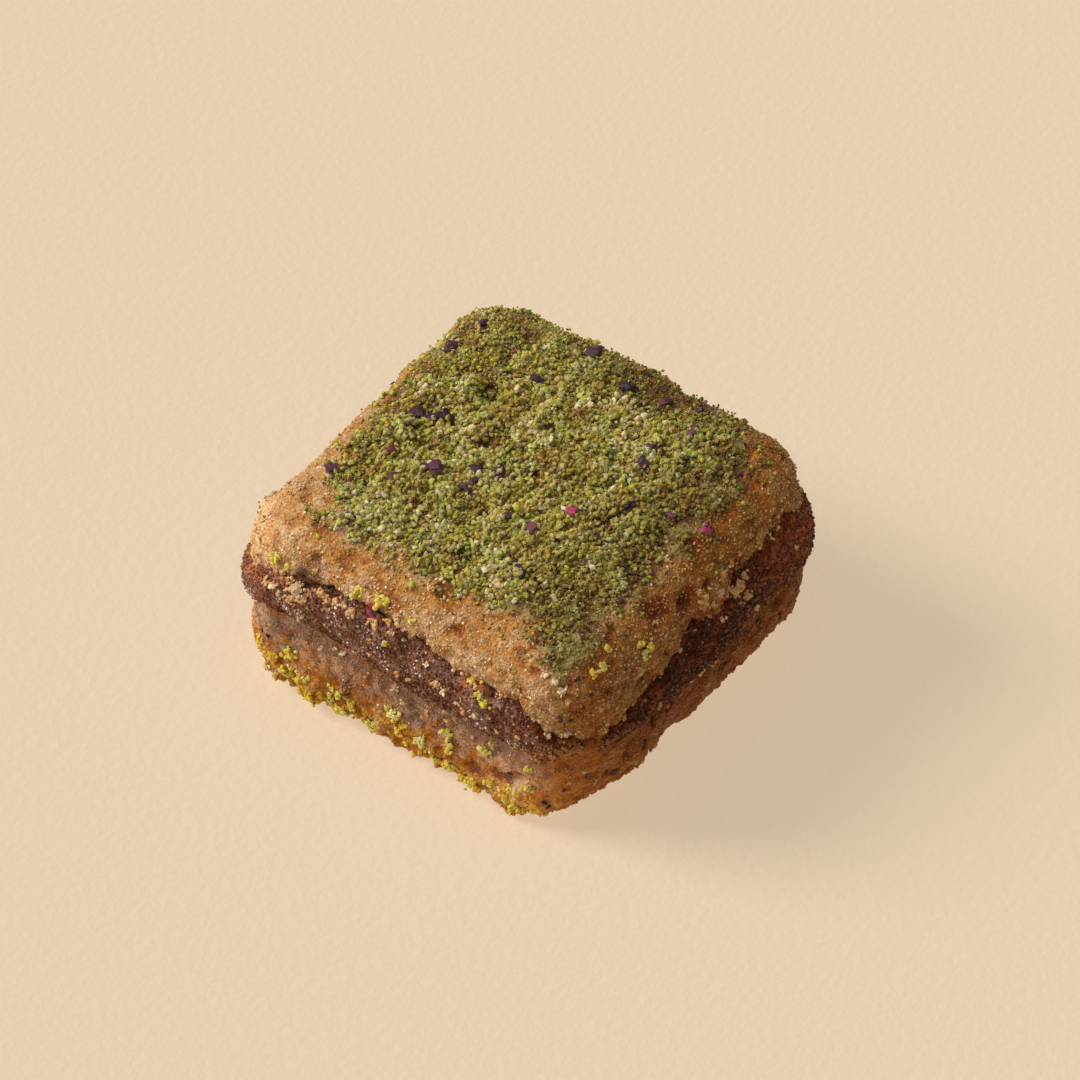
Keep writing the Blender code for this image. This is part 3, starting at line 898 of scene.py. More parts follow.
def nib_share(points: Array, normals: Array) -> Array:
    """Share of nibs: all over the field, and more in loose groups."""
    group = eased(ripples(points, 3.2 * MM, 51.0), -0.1, 0.4)
    return meal_cover(points, normals) * (0.25 + group)


def side_share(points: Array, normals: Array) -> Array:
    """Share of things on a layer's upright side."""
    return 1.0 - eased(np.abs(normals[:, 2]), 0.7, 0.9)


def lip_share(points: Array, normals: Array) -> Array:
    """Share of things along a layer's lower edge, where its side turns under."""
    return eased(-normals[:, 2], -0.15, 0.2) * (1.0 - eased(-normals[:, 2], 0.75, 0.9))


def bare_share(points: Array, normals: Array) -> Array:
    """Share of crumbs on the lid where no meal lies."""
    return eased(normals[:, 2], -0.6, -0.1) * (1.0 - 0.85 * meal_cover(points, normals))


def stain_share(points: Array, normals: Array) -> Array:
    """Share of crumbs on the stained front corner."""
    return side_share(points, normals) * front_stain(points)


# --- Layers ---------------------------------------------------------------------------------


@dataclass(frozen=True)
class Crumble:
    """How rough a broken surface is.

    Attributes:
        swell: Height of broad swellings.
        swell_size: Their width.
        lump: Height of lumps.
        lump_size: Their width.
        grit: Height of grit.
        grit_size: Its width.
        pit: Depth of pits.
        pit_size: Their width.
        pit_from: How large a part of the surface has none: more as it grows.
        rag: Height of the rags that hang along the lower edge.
        rag_size: Their width.
    """

    swell: float = 0.14 * MM
    swell_size: float = 2.4 * MM
    lump: float = 0.34 * MM
    lump_size: float = 1.0 * MM
    grit: float = 0.14 * MM
    grit_size: float = 0.45 * MM
    pit: float = 0.9 * MM
    pit_size: float = 1.4 * MM
    pit_from: float = 0.24
    rag: float = 0.0
    rag_size: float = 1.7 * MM

    def height(self, points: Array, rise: Array) -> Array:
        """Height above the smooth surface at each place.

        Args:
            points: Places as rows.
            rise: Their height within the layer's side, from 0 to 1.

        Returns:
            One height for each place.
        """
        swell = ripples(points, self.swell_size, 3.1) * self.swell
        lump = (pebbles(points, self.lump_size, 5.7) - 0.5) * self.lump
        grit = (pebbles(points, self.grit_size, 9.2) - 0.5) * self.grit
        pits = np.clip(ripples(points, self.pit_size, 12.4) - self.pit_from, 0.0, 1.0) * self.pit
        height = swell + lump + grit - pits
        if self.rag:
            edge = 1.0 - eased(rise, 0.10, 0.45)
            height += (pebbles(points, self.rag_size, 15.3) - 0.45) * self.rag * edge
        return height


@dataclass
class Layer:
    """One layer of the square: the solid's form with the fine surface of the real food.

    Attributes:
        part: The solid that the layer stands for.
        slot: Its material slot in the record; not used.
        finish: Its finish.
        crumble: How rough its outside is.
        painted_glows: Where its colour is lightened by painted glow, as if light seeped through it.
        voxel: Spacing of the fine mesh.
        smoothing: Rounds of smoothing after the fine mesh is made.
        overlap: How far its hidden faces reach into its neighbours.
        inset: How far its outside draws back, to leave room for what is strewn on it.
        relief: Height that spans all the colours.
        merging: Vertices of the solid that are closer than this become one.
        softness: Strength of one round of smoothing.
        piece: The finished piece, once it is built.
    """

    part: Part
    slot: Slot
    finish: DoughFinish | DateFinish
    crumble: Crumble
    painted_glows: Spots = DOUGH_PAINTED_GLOWS
    voxel: float = 0.29 * MM
    smoothing: int = 3
    overlap: float = 0.24 * MM
    inset: float = 0.14 * MM
    relief: float = 0.8 * MM
    merging: float = 1e-6
    softness: float = 0.5
    piece: bpy.types.Object | None = None

    def build(self) -> bpy.types.Object:
        """Model, map and dress the layer.

        Returns:
            The finished piece.
        """
        self.piece = self._refined_copy()
        mesh = self.piece.data
        points, normals = places(mesh), directions(mesh)
        lay_map(mesh, self._map(points))
        rise = side_rise(points, normals)
        height = self.crumble.height(points, rise) - dimple_depth(points)
        height += self._flush(rise) * eased(-normals[:, 1], 0.2, 0.7) + self._heaps(points, normals)
        # The glow and shade values hold painted glow and painted shade.
        kept = {
            RELIEF: np.clip(0.5 + height / self.relief, 0.0, 1.0),
            MEAL: self._meal(points, normals), RISE: rise, RUST: front_stain(points),
            FROST: sugar_share(normals), PAINTED_GLOW: painted_glow_share(points, self.painted_glows),
            PAINTED_SHADE: painted_shade_share(points, normals),
        }
        for name, values in kept.items():
            store(mesh, name, values)
        mesh.vertices.foreach_set("co", self._shaped(points, normals, height))
        mesh.update()
        mesh.materials.clear()
        mesh.materials.append(self.finish.material())
        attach(self.piece, "root")
        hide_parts(self.part.value)
        return self.piece

    def _refined_copy(self) -> bpy.types.Object:
        """Copy the solid's mesh, merge it, and remesh it finely.

        Returns:
            The copy.
        """
        source = frame["nodes"][self.part.value]
        piece = bpy.data.objects.new(f"{self.part.value}_crumb", source.data.copy())
        bpy.context.scene.collection.objects.link(piece)
        only(piece)
        bpy.ops.object.mode_set(mode="EDIT")
        bpy.ops.mesh.select_all(action="SELECT")
        bpy.ops.mesh.remove_doubles(threshold=self.merging)
        bpy.ops.object.mode_set(mode="OBJECT")
        remesh = piece.modifiers.new("fine", "REMESH")
        remesh.mode = "VOXEL"
        remesh.voxel_size = self.voxel
        smooth = piece.modifiers.new("soft", "SMOOTH")
        smooth.factor = self.softness
        smooth.iterations = self.smoothing
        for modifier in (remesh, smooth):
            bpy.ops.object.modifier_apply(modifier=modifier.name)
        bpy.ops.object.shade_smooth()
        return piece

    def _shaped(self, points: Array, normals: Array, height: Array) -> Array:
        """Move the vertices to where the real surface is.

        Args:
            points: Places as rows.
            normals: Their normals.
            height: Height of the unevenness at each.

        Returns:
            The new places, in one row.
        """
        outside = self._outside(normals[:, 2])
        out = (height * self._roughness(points, normals) - self.inset) * outside
        moved = points + normals * out[:, None]
        reach = np.where(points[:, 2] < 1.0 * MM, 0.0, self.overlap)     # none on the ground
        moved[:, 2] += np.sign(normals[:, 2]) * (1.0 - outside) * reach
        moved[:, 2] = np.maximum(moved[:, 2] - self._sag(normals), 0.0)
        return moved.astype(np.float32).ravel()

    def _outside(self, up: Array) -> Array:
        """1 where a vertex shows, 0 on the faces that the layers hide from each other."""
        return 1.0 - eased(np.abs(up), 0.75, 0.95)

    def _roughness(self, points: Array, normals: Array) -> Array:
        """Share of the unevenness that shows."""
        return np.ones(len(points))

    def _sag(self, normals: Array) -> Array:
        """How far each vertex comes down."""
        return np.zeros(len(normals))

    def _flush(self, rise: Array) -> Array:
        """How far the joints are brought level on the smeared side."""
        return np.zeros(len(rise))

    def _heaps(self, points: Array, normals: Array) -> Array:
        """Height of the small heaps in which the meal lies."""
        return np.zeros(len(points))

    def _meal(self, points: Array, normals: Array) -> Array:
        """Share of pistachio dust at each vertex."""
        return np.zeros(len(points))

    @staticmethod
    def _split(mesh: bpy.types.Mesh) -> tuple[Array, Array, Array]:
        """Face corners of a mesh.

        Args:
            mesh: The mesh.

        Returns:
            Vertex of each corner, its face's first corner, and how far that face looks up.
        """
        starts = read(mesh.polygons, "loop_start")
        face = np.repeat(np.arange(len(starts)), read(mesh.polygons, "loop_total"))
        facing = read(mesh.polygons, "normal", 3, np.float32)
        return read(mesh.loops, "vertex_index"), starts[face], facing[face, 2]

    def _map(self, points: Array) -> Array:
        """Places on the layer's own map: top, side and underside each in their own part of it.

        Args:
            points: Places of the vertices as rows.

        Returns:
            The map's places, one for each face corner.
        """
        corners, first, up = self._split(self.piece.data)
        at = points[corners]
        low, high = points.min(0), points.max(0)
        flat = (at[:, :2] - low[:2]) / (high - low).max()
        bearing = np.arctan2(at[:, 1], at[:, 0]) / math.tau + 0.5
        jump = bearing[first] - bearing
        bearing = bearing + (jump > 0.5) - (jump < -0.5)
        rise = (at[:, 2] - low[2]) / (high[2] - low[2])
        side = np.stack([0.02 + 0.94 * (bearing + 0.01), 0.02 + 0.36 * rise], 1)
        top = np.array((0.02, 0.42)) + 0.54 * flat
        under = np.array((0.60, 0.42)) + 0.36 * flat
        return np.where((up > 0.6)[:, None], top, np.where((up < -0.6)[:, None], under, side))


@dataclass
class Base(Layer):
    """The base: browned dough that stands on the ground."""

    part: Part = Part.BASE
    slot: Slot = Slot.BASE
    finish: DoughFinish = BASE_DOUGH
    crumble: Crumble = Crumble(lump=0.42 * MM, pit=1.1 * MM, pit_from=0.2)

    def _outside(self, up: Array) -> Array:
        """1 where a vertex shows, 0 on the hidden top and on the ground."""
        return (1.0 - eased(up, 0.75, 0.95)) * (1.0 - eased(-up, 0.9, 0.99))

    def _flush(self, rise: Array) -> Array:
        """The foot stands out a little."""
        return 0.12 * MM * (1.0 - eased(rise, 0.15, 0.6))


@dataclass
class DateBand(Layer):
    """The band of date paste."""

    part: Part = Part.FILLING
    slot: Slot = Slot.FILLING
    finish: DateFinish = DATE_PASTE
    crumble: Crumble = Crumble(pit=0.5 * MM)
    painted_glows: Spots = DATE_PAINTED_GLOWS

    def _flush(self, rise: Array) -> Array:
        """Its upper edge comes out to the lid."""
        return 0.15 * MM * eased(rise, 0.45, 0.9)


@dataclass
class Lid(Layer):
    """The lid: paler dough with a torn lower lip, under the meal."""

    part: Part = Part.LID
    slot: Slot = Slot.LID
    finish: DoughFinish = LID_DOUGH
    crumble: Crumble = Crumble(lump=0.42 * MM, pit_from=0.24, rag=0.7 * MM)

    def _outside(self, up: Array) -> Array:
        """1 where a vertex shows, 0 on the hidden underside."""
        return 1.0 - eased(-up, 0.75, 0.95)

    def _roughness(self, points: Array, normals: Array) -> Array:
        """Share of the unevenness that shows: less on top near the rims and the front corner."""
        calm = np.maximum(0.55 * front_share(points), 0.5 * rim_share(points))
        return 1.0 - eased(normals[:, 2], 0.3, 0.8) * calm

    def _sag(self, normals: Array) -> Array:
        """The lower lip comes down on the date, so that no gap opens between."""
        return 0.95 * MM * eased(-normals[:, 2], -0.1, 0.4)

    def _flush(self, rise: Array) -> Array:
        """Its lower edge draws back to the date."""
        return -0.15 * MM * (1.0 - eased(rise, 0.10, 0.45))

    def _heaps(self, points: Array, normals: Array) -> Array:
        """Height of the small heaps in which the meal lies."""
        return 0.40 * MM * (meal_clumps(points) - 0.6) * meal_cover(points, normals)

    def _meal(self, points: Array, normals: Array) -> Array:
        """Share of pistachio dust at each vertex."""
        return meal_cover(points, normals)


# --- Strewn things --------------------------------------------------------------------------


@dataclass
class Skin:
    """Triangles of a finished piece, on which things are strewn.

    Attributes:
        piece: The piece.
        corners: Places of each triangle's corners.
        middles: Its middle.
        facing: Its normal.
        areas: Its area.
    """

    piece: bpy.types.Object
    corners: Array = field(init=False)
    middles: Array = field(init=False)
    facing: Array = field(init=False)
    areas: Array = field(init=False)

    def __post_init__(self) -> None:
        """Read the triangles."""
        mesh = self.piece.data
        mesh.calc_loop_triangles()
        index = read(mesh.loop_triangles, "vertices", 3)
        self.corners = places(mesh)[index]
        self.middles = self.corners.mean(1)
        self.facing = directions(mesh)[index].mean(1)
        edges = self.corners[:, 1:] - self.corners[:, :1]
        self.areas = np.linalg.norm(np.cross(edges[:, 0], edges[:, 1]), axis=1) / 2

    def draw(self, count: int, share: Share, draws: np.random.Generator) -> tuple[Array, Array]:
        """Draw places at random.

        Args:
            count: How many.
            share: Share of things at given places and normals.
            draws: Source of random numbers.

        Returns:
            Places and normals as rows.
        """
        odds = self.areas * share(self.middles, self.facing)
        chosen = draws.choice(len(odds), count, p=odds / odds.sum())
        first = np.sqrt(draws.random(count))
        second = draws.random(count)
        weights = np.stack([1 - first, first * (1 - second), first * second], 1)
        spots = (self.corners[chosen] * weights[:, :, None]).sum(1)
        return spots, unit(self.facing[chosen])


def settle(skins: Sequence[Skin], wanted: Array) -> tuple[Array, Array]:
    """Move places onto the nearest of several skins.

    Args:
        skins: The skins.
        wanted: Places as rows.

    Returns:
        Places on the skins and their normals as rows.
    """
    middles = np.concatenate([skin.middles for skin in skins])
    facing = np.concatenate([skin.facing for skin in skins])
    chosen = [np.square(middles - spot).sum(1).argmin() for spot in wanted]
    return middles[chosen], unit(facing[chosen])


def sizes_between(least: float, most: float, lean: Span, count: int | None,
                  draws: np.random.Generator) -> Array | float:
    """Draw sizes at random, more of them small than large.

    Args:
        least: Smallest size.
        most: Largest size.
        lean: Both parameters of the beta distribution.
        count: How many, or None for a single number.
        draws: Source of random numbers.

    Returns:
        The sizes, or the one size.
    """
    return least * (most / least) ** draws.beta(*lean, count)


def turns(count: int, draws: np.random.Generator) -> Array:
    """Draw turns at random.

    Args:
        count: How many.
        draws: Source of random numbers.

    Returns:
        The turns, as 3x3 matrices.
    """
    w, x, y, z = unit(draws.normal(size=(count, 4))).T
    rows = [
        [1 - 2 * (y * y + z * z), 2 * (x * y - z * w), 2 * (x * z + y * w)],
        [2 * (x * y + z * w), 1 - 2 * (x * x + z * z), 2 * (y * z - x * w)],
        [2 * (x * z - y * w), 2 * (y * z + x * w), 1 - 2 * (x * x + y * y)],
    ]
    return np.array(rows).transpose(2, 0, 1)


def upright(normals: Array, spins: Array) -> Array:
    """Turns that set Z along each normal.

    Args:
        normals: The normals as rows.
        spins: Turn about each, in radians.

    Returns:
        The turns, as 3x3 matrices.
    """
    helper = np.where(np.abs(normals[:, 2:3]) < 0.9, (0.0, 0.0, 1.0), (1.0, 0.0, 0.0))
    across = unit(np.cross(helper, normals))
    along = np.cross(normals, across)
    cos, sin = np.cos(spins)[:, None], np.sin(spins)[:, None]
    return np.stack([across * cos + along * sin, along * cos - across * sin, normals], 2)


def grain_shape(form: Form) -> tuple[Array, Array]:
    """Model one grain.

    Args:
        form: The form it starts as.

    Returns:
        Vertices about the origin with a radius of 1, and triangles.
    """
    deselect()
    if form is Form.CHIP:
        bpy.ops.mesh.primitive_cube_add(size=2.0 / math.sqrt(3.0))
    else:
        bpy.ops.mesh.primitive_ico_sphere_add(subdivisions=1, radius=1.0)
    grain = bpy.context.object
    bpy.ops.object.mode_set(mode="EDIT")
    bpy.ops.mesh.select_all(action="SELECT")
    bpy.ops.mesh.quads_convert_to_tris()
    bpy.ops.transform.rotate(value=0.3, orient_axis="X", center_override=(0.0, 0.0, 0.0))
    bpy.ops.object.mode_set(mode="OBJECT")
    mesh = grain.data
    shape, triangles = places(mesh), read(mesh.polygons, "vertices", 3)
    bpy.data.objects.remove(grain)
    bpy.data.meshes.remove(mesh)
    return shape, triangles


@dataclass
class Strewing:
    """Many small things of one kind, joined in one mesh.

    Attributes:
        name: The piece's name.
        slot: Its material slot in the record; not used.
        finish: Its finish.
        form: Form that each grain starts as.
        jag: How far a grain's corners stray from round, as a share of its radius.
        seed: Sets the random draws.
        faceted: Whether a grain has flat faces, as a crystal does.
        clearance: How far every grain stays above the ground.
    """

    name: str
    slot: Slot
    finish: GrainFinish
    form: Form
    jag: float
    seed: int
    faceted: bool = True
    clearance: float = 0.01 * MM

    def __post_init__(self) -> None:
        """Start the draws and the list of what is strewn."""
        self.draws = np.random.default_rng(self.seed)
        self.lots: list[tuple[Array, Array, Array, Array]] = []

    def add(self, spots: Array, radii: Array, tints: Array, frames: Array | None = None,
            flat: tuple[float, float, float] = (1.0, 0.85, 0.72)) -> None:
        """Strew grains.

        Args:
            spots: Their middles as rows.
            radii: Their radii.
            tints: Their places along the finish's colours.
            frames: Their turns, or None for random ones.
            flat: Their proportions, each of which also varies a little.
        """
        if frames is None:
            frames = turns(len(spots), self.draws)
        spread = self.draws.uniform(0.82, 1.18, (len(spots), 3))
        sizes = radii[:, None] * np.array(flat) * spread
        self.lots.append((spots, frames, sizes, np.clip(tints, 0.0, 1.0)))

    def cluster(self, spot: Array, normal: Array, width: float, tint: float, grain: Span) -> None:
        """Strew grains together as one clump, somewhat flattened on the surface.

        Args:
            spot: The clump's place on the surface.
            normal: The surface's normal there.
            width: Half the clump's width.
            tint: Its tint, from which single grains stray a little.
            grain: Smallest and largest radius of a grain.
        """
        count = max(1, round((width / (0.5 * sum(grain))) ** 1.9 * 2.6))
        away = self.draws.normal(0.0, 0.40, (count, 3)) * width
        away -= 0.5 * (away @ normal)[:, None] * normal
        radii = self.draws.uniform(*grain, count)
        middle = spot + normal * 0.15 * width
        if width > grain[1]:
            away[0] = 0.0
            radii[0] = 0.62 * width
        self.add(middle + away, radii, tint + self.draws.normal(0.0, 0.15, count))

    def build(self) -> bpy.types.Object:
        """Join everything strewn into one dressed piece.

        Returns:
            The finished piece.
        """
        shape, triangles = grain_shape(self.form)
        spots, frames, sizes, tints = (np.concatenate(kept) for kept in zip(*self.lots))
        count, corners = len(spots), len(shape)
        jagged = shape * self.draws.uniform(1 - self.jag, 1 + self.jag, (count, corners, 1))
        points = np.einsum("nij,nkj->nki", frames, jagged * sizes[:, None]) + spots[:, None]
        points[:, :, 2] = np.maximum(points[:, :, 2], self.clearance)
        faces = (triangles + (np.arange(count) * corners)[:, None, None]).astype(np.int32).ravel()
        mesh = self._mesh(points, faces)
        store(mesh, TINT, tints.repeat(corners))
        # Painted shade for grains on the rims that turn from the light.
        store(mesh, PAINTED_SHADE, dim_share(spots).repeat(corners))
        lay_map(mesh, self._map(shape, count)[faces])
        mesh.materials.append(self.finish.material())
        piece = bpy.data.objects.new(self.name, mesh)
        bpy.context.scene.collection.objects.link(piece)
        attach(piece, "root")
        return piece

    def _mesh(self, points: Array, faces: Array) -> bpy.types.Mesh:
        """Make the mesh.

        Args:
            points: Places of its vertices.
            faces: Its triangles' corners, in one row.

        Returns:
            The mesh.
        """
        mesh = bpy.data.meshes.new(self.name)
        mesh.vertices.add(points.size // 3)
        mesh.vertices.foreach_set("co", points.astype(np.float32).ravel())
        mesh.loops.add(faces.size)
        mesh.loops.foreach_set("vertex_index", faces)
        mesh.polygons.add(faces.size // 3)
        mesh.polygons.foreach_set("loop_start", np.arange(0, faces.size, 3, dtype=np.int32))
        mesh.update(calc_edges=True)
        if self.faceted:
            mesh.shade_flat()
        return mesh

    @staticmethod
    def _map(shape: Array, count: int) -> Array:
        """Give each grain a square of the map, with its surface spread flat in it.

        Args:
            shape: Vertices of a grain.
            count: How many grains there are.

        Returns:
            The map's places, one for each vertex.
        """
        way = unit(shape)
        spread = np.sqrt(np.clip(1.0 - way[:, 2], 0.0, None) / 2.0)
        around = way[:, :2] / np.maximum(np.hypot(way[:, 0], way[:, 1]), 1e-6)[:, None]
        disc = 0.5 + 0.42 * around * spread[:, None]
        across = math.ceil(math.sqrt(count))
        cell = np.stack([np.arange(count) % across, np.arange(count) // across], 1)
        return ((cell[:, None] + disc) / across).reshape(-1, 2)


# Flecks of skin on the lid: X, Y, bearing of the long side, half length in mm, and tint.
SKIN_FLECKS = (
    (-12.9, 0.3, 60, 0.75, 0.3), (-10.5, 1.3, 110, 0.95, 0.1), (-7.0, -4.7, 20, 0.90, 0.4),
    (-3.4, -4.5, 10, 0.85, 0.3), (-4.0, -2.7, 30, 0.60, 0.2), (-2.3, -1.5, 25, 0.75, 0.4),
    (-12.1, -4.9, 15, 0.65, 0.8), (-9.2, -7.7, 75, 0.85, 0.7), (-14.9, -9.7, 50, 0.80, 0.6),
    (0.8, 14.0, 0, 0.80, 0.1), (-4.7, 16.4, 10, 0.75, 0.3), (-6.6, 10.1, 45, 0.65, 0.2),
    (7.7, 7.0, 10, 0.70, 0.2), (0.0, 0.3, 100, 0.55, 0.1), (9.6, 2.1, 60, 0.60, 0.0),
    (6.8, -10.7, 40, 0.70, 0.1), (4.4, -5.6, 20, 0.60, 0.7), (1.9, -5.6, 50, 0.50, 0.5),
    (6.2, -2.0, 0, 0.60, 1.0), (13.2, 3.2, 40, 0.55, 0.8), (16.5, 4.1, 20, 0.50, 1.0),
    (4.3, 15.0, 30, 0.60, 0.5), (7.6, 15.9, 15, 0.70, 0.3), (-15.2, 13.2, 0, 0.60, 0.3),
    (-15.7, 9.3, 80, 0.70, 0.5), (7.0, 9.3, 70, 0.55, 0.4), (9.0, 13.0, 60, 0.70, 0.6),
)


# Flecks of skin on the sides and the front of the lid: X, Y, Z and half length in mm, and tint.
SIDE_FLECKS = (
    (-3.1, -19.4, 17.3, 0.5, 1.0), (-3.1, -19.5, 16.5, 0.5, 1.0), (17.3, -16.5, 18.2, 0.35, 0.2),
    (18.6, -15.8, 16.7, 0.3, 0.2), (17.1, -18.5, 14.8, 0.5, 0.4), (17.7, -17.8, 14.2, 0.25, 0.3),
    (18.4, -16.7, 15.3, 0.2, 0.2), (18.7, -16.2, 14.7, 0.2, 0.2), (19.3, -11.8, 16.7, 0.2, 0.1),
    (13.4, -15.9, 19.9, 0.25, 0.2), (14.6, -16.6, 19.6, 0.22, 0.1), (11.1, -15.0, 20.1, 0.2, 0.1),
    (15.2, -13.2, 20.1, 0.3, 0.6), (15.7, -13.4, 20.0, 0.3, 0.5), (17.1, -11.6, 19.5, 0.25, 0.6),
    (17.0, -18.0, 5.3, 0.25, 0.3), (15.6, -19.0, 3.6, 0.4, 0.1), (15.9, -18.6, 2.8, 0.35, 0.1),
    (12.4, -19.7, 5.7, 0.35, 0.0), (15.9, -19.9, 10.5, 0.25, 0.3), (18.3, -15.8, 5.9, 0.25, 0.2),
    (18.7, -12.4, 4.0, 0.5, 0.0), (-15.6, -19.5, 6.8, 0.35, 0.0), (-15.0, -19.5, 6.4, 0.3, 0.0),
    (6.3, -19.3, 5.7, 0.2, 0.0), (-6.6, -18.8, 18.0, 0.15, 0.1), (-4.2, -18.5, 18.4, 0.15, 0.1),
    (-16.1, -19.2, 15.9, 0.2, 0.1),
)


@dataclass(frozen=True)
class Meal:
    """Ground pistachio of one coarseness.

    Attributes:
        name: The piece's name.
        form: Form that each grain starts as.
        jag: How far a grain's corners stray from round, as a share of its radius.
        seed: Sets the random draws.
        faceted: Whether a grain has flat faces.
        count: How many grains.
        radius: Their smallest and largest radius.
        share: Share of grains at given places and normals.
        together: How many grains cling together.
        pale: How much further along the colours they are; the coarse grains on top are paler and
            the fine ones darker, as painted light and shade.
    """

    name: str
    form: Form
    jag: float
    seed: int
    faceted: bool
    count: int
    radius: Span
    share: Share
    together: int
    pale: float


@dataclass
class Topping:
    """Ground pistachio on the lid: three kinds of meal, brighter nibs and flecks of skin.

    Attributes:
        skin: The lid's skin.
        skins: The skins of all the layers.
        meals: The kinds of meal.
        cling: How far grains that cling together stray.
        nib_count: How many nibs.
        nib_radius: Their smallest and largest radius.
        speck_count: How many dark specks.
        speck_radius: Their smallest and largest radius.
        flakes: How many flakes make one fleck on top.
        side_flakes: How many make one on a side.
    """

    skin: Skin
    skins: Sequence[Skin]
    meals: Sequence[Meal] = (
        Meal("pistachio_meal_coarse", Form.PEBBLE, 0.36, 3, True,
             7600, (0.24 * MM, 0.46 * MM), clumped_share, 5, 0.08),
        Meal("pistachio_meal_middle", Form.CHIP, 0.25, 23, True,
             12600, (0.18 * MM, 0.34 * MM), dusted_share, 4, -0.03),
        Meal("pistachio_meal_fine", Form.CHIP, 0.3, 4, False,
             13000, (0.08 * MM, 0.20 * MM), dusted_share, 1, -0.05),
    )
    cling: float = 0.36 * MM
    nib_count: int = 520
    nib_radius: Span = (0.20 * MM, 0.44 * MM)
    speck_count: int = 480
    speck_radius: Span = (0.11 * MM, 0.25 * MM)
    flakes: int = 5
    side_flakes: int = 2

    def build(self) -> list[bpy.types.Object]:
        """Strew the kinds and return their pieces."""
        return [*map(self._meal, self.meals), self._nibs(), self._flecks()]

    @staticmethod
    def _tone(points: Array) -> Array:
        """Tint of meal at each place: darker towards +X and +Y and in the valleys between heaps, as
        painted shade; brighter in the far corner.

        Args:
            points: Places as rows.

        Returns:
            One tint for each place.
        """
        drift = ripples(points, 5.0 * MM, 41.0) * 0.24 + ripples(points, 1.4 * MM, 43.0) * 0.20
        # Painted shade: meal in the valleys between heaps is darker.
        heaps = 0.16 * (meal_clumps(points) - 0.6) - 0.02 * front_share(points)
        return 0.48 + drift + heaps - 0.14 * dim_share(points) + 0.15 * far_share(points)

    def _meal(self, meal: Meal) -> bpy.types.Object:
        """Strew meal of one coarseness.

        Args:
            meal: The kind of meal.

        Returns:
            The finished piece.
        """
        strewing = Strewing(
            meal.name, Slot.LID, MEAL_GRAINS, meal.form, meal.jag, meal.seed, meal.faceted)
        draws = strewing.draws
        found = self.skin.draw(meal.count // meal.together, meal.share, draws)
        spots, normals = (rows.repeat(meal.together, 0) for rows in found)
        count = len(spots)
        radii = sizes_between(*meal.radius, (1.4, 2.2), count, draws)
        radii *= 1.0 - np.maximum(0.35 * rim_share(spots), 0.3 * far_share(spots))
        even = 1.0 - 0.75 * far_share(spots)
        tints = self._tone(spots) + meal.pale + draws.normal(0.0, 0.06, count)
        tints += draws.normal(0.0, 0.13, count // meal.together).repeat(meal.together) * even
        if meal.together > 1:
            away = draws.normal(0.0, self.cling, (count, 3))
            spots = spots + away - 0.6 * (away * normals).sum(1)[:, None] * normals
        lift = draws.uniform(-0.25, 0.75, count) * (1.0 - 0.6 * rim_share(spots)) * even
        # Painted shade: grains lying low are darker, raised ones paler.
        tints += (lift - 0.25) * 0.30
        strewing.add(spots + normals * (radii * lift)[:, None], radii, tints)
        return strewing.build()

    def _nibs(self) -> bpy.types.Object:
        """Strew larger, greener nibs, in loose groups.

        Returns:
            The finished piece.
        """
        strewing = Strewing(
            "pistachio_nibs", Slot.LID, NIB_GREENS, Form.PEBBLE, 0.25, 5, faceted=False)
        draws = strewing.draws
        spots, normals = self.skin.draw(self.nib_count, nib_share, draws)
        radii = sizes_between(*self.nib_radius, (1.2, 2.6), len(spots), draws)
        lift = draws.uniform(0.2, 0.9, len(spots)) * (1.0 - 0.5 * rim_share(spots))
        tints = draws.beta(1.7, 1.8, len(spots))
        strewing.add(spots + normals * (radii * lift)[:, None], radii, tints)
        return strewing.build()

    def _flecks(self) -> bpy.types.Object:
        """Lay flecks of purple skin, and small dark specks between them.

        Returns:
            The finished piece.
        """
        strewing = Strewing("skin_flecks", Slot.LID, SKIN_PURPLES, Form.PEBBLE, 0.4, 7)
        self._top_flecks(strewing)
        self._side_flecks(strewing)
        self._specks(strewing)
        return strewing.build()

    def _top_flecks(self, strewing: Strewing) -> None:
        """Lay the flecks on top, each of a few flakes.

        Args:
            strewing: What they are strewn into.
        """
        draws = strewing.draws
        table = np.array(SKIN_FLECKS).repeat(self.flakes, 0)
        length = table[:, 3] * MM
        near = table[:, :2] * MM + draws.normal(0.0, 0.32, (len(table), 2)) * length[:, None]
        above = np.flatnonzero(self.skin.facing[:, 2] > 0.5)
        gaps = np.linalg.norm(self.skin.middles[above, :2] - near[:, None], axis=2)
        nearest = above[gaps.argmin(1)]
        tilt = self.skin.facing[nearest] * 0.5 + draws.normal(0.0, 0.34, (len(table), 3))
        normals = unit((0.0, 0.0, 1.0) + tilt)
        radii = length * draws.uniform(0.60, 0.95, len(table))
        frames = upright(normals, np.radians(table[:, 2]) + draws.normal(0.0, 0.5, len(table)))
        tints = table[:, 4] + draws.normal(0.0, 0.08, len(table))
        spots = self.skin.middles[nearest] + normals * 0.34 * MM
        strewing.add(spots, radii, tints, frames, (1.0, 0.7, 0.2))

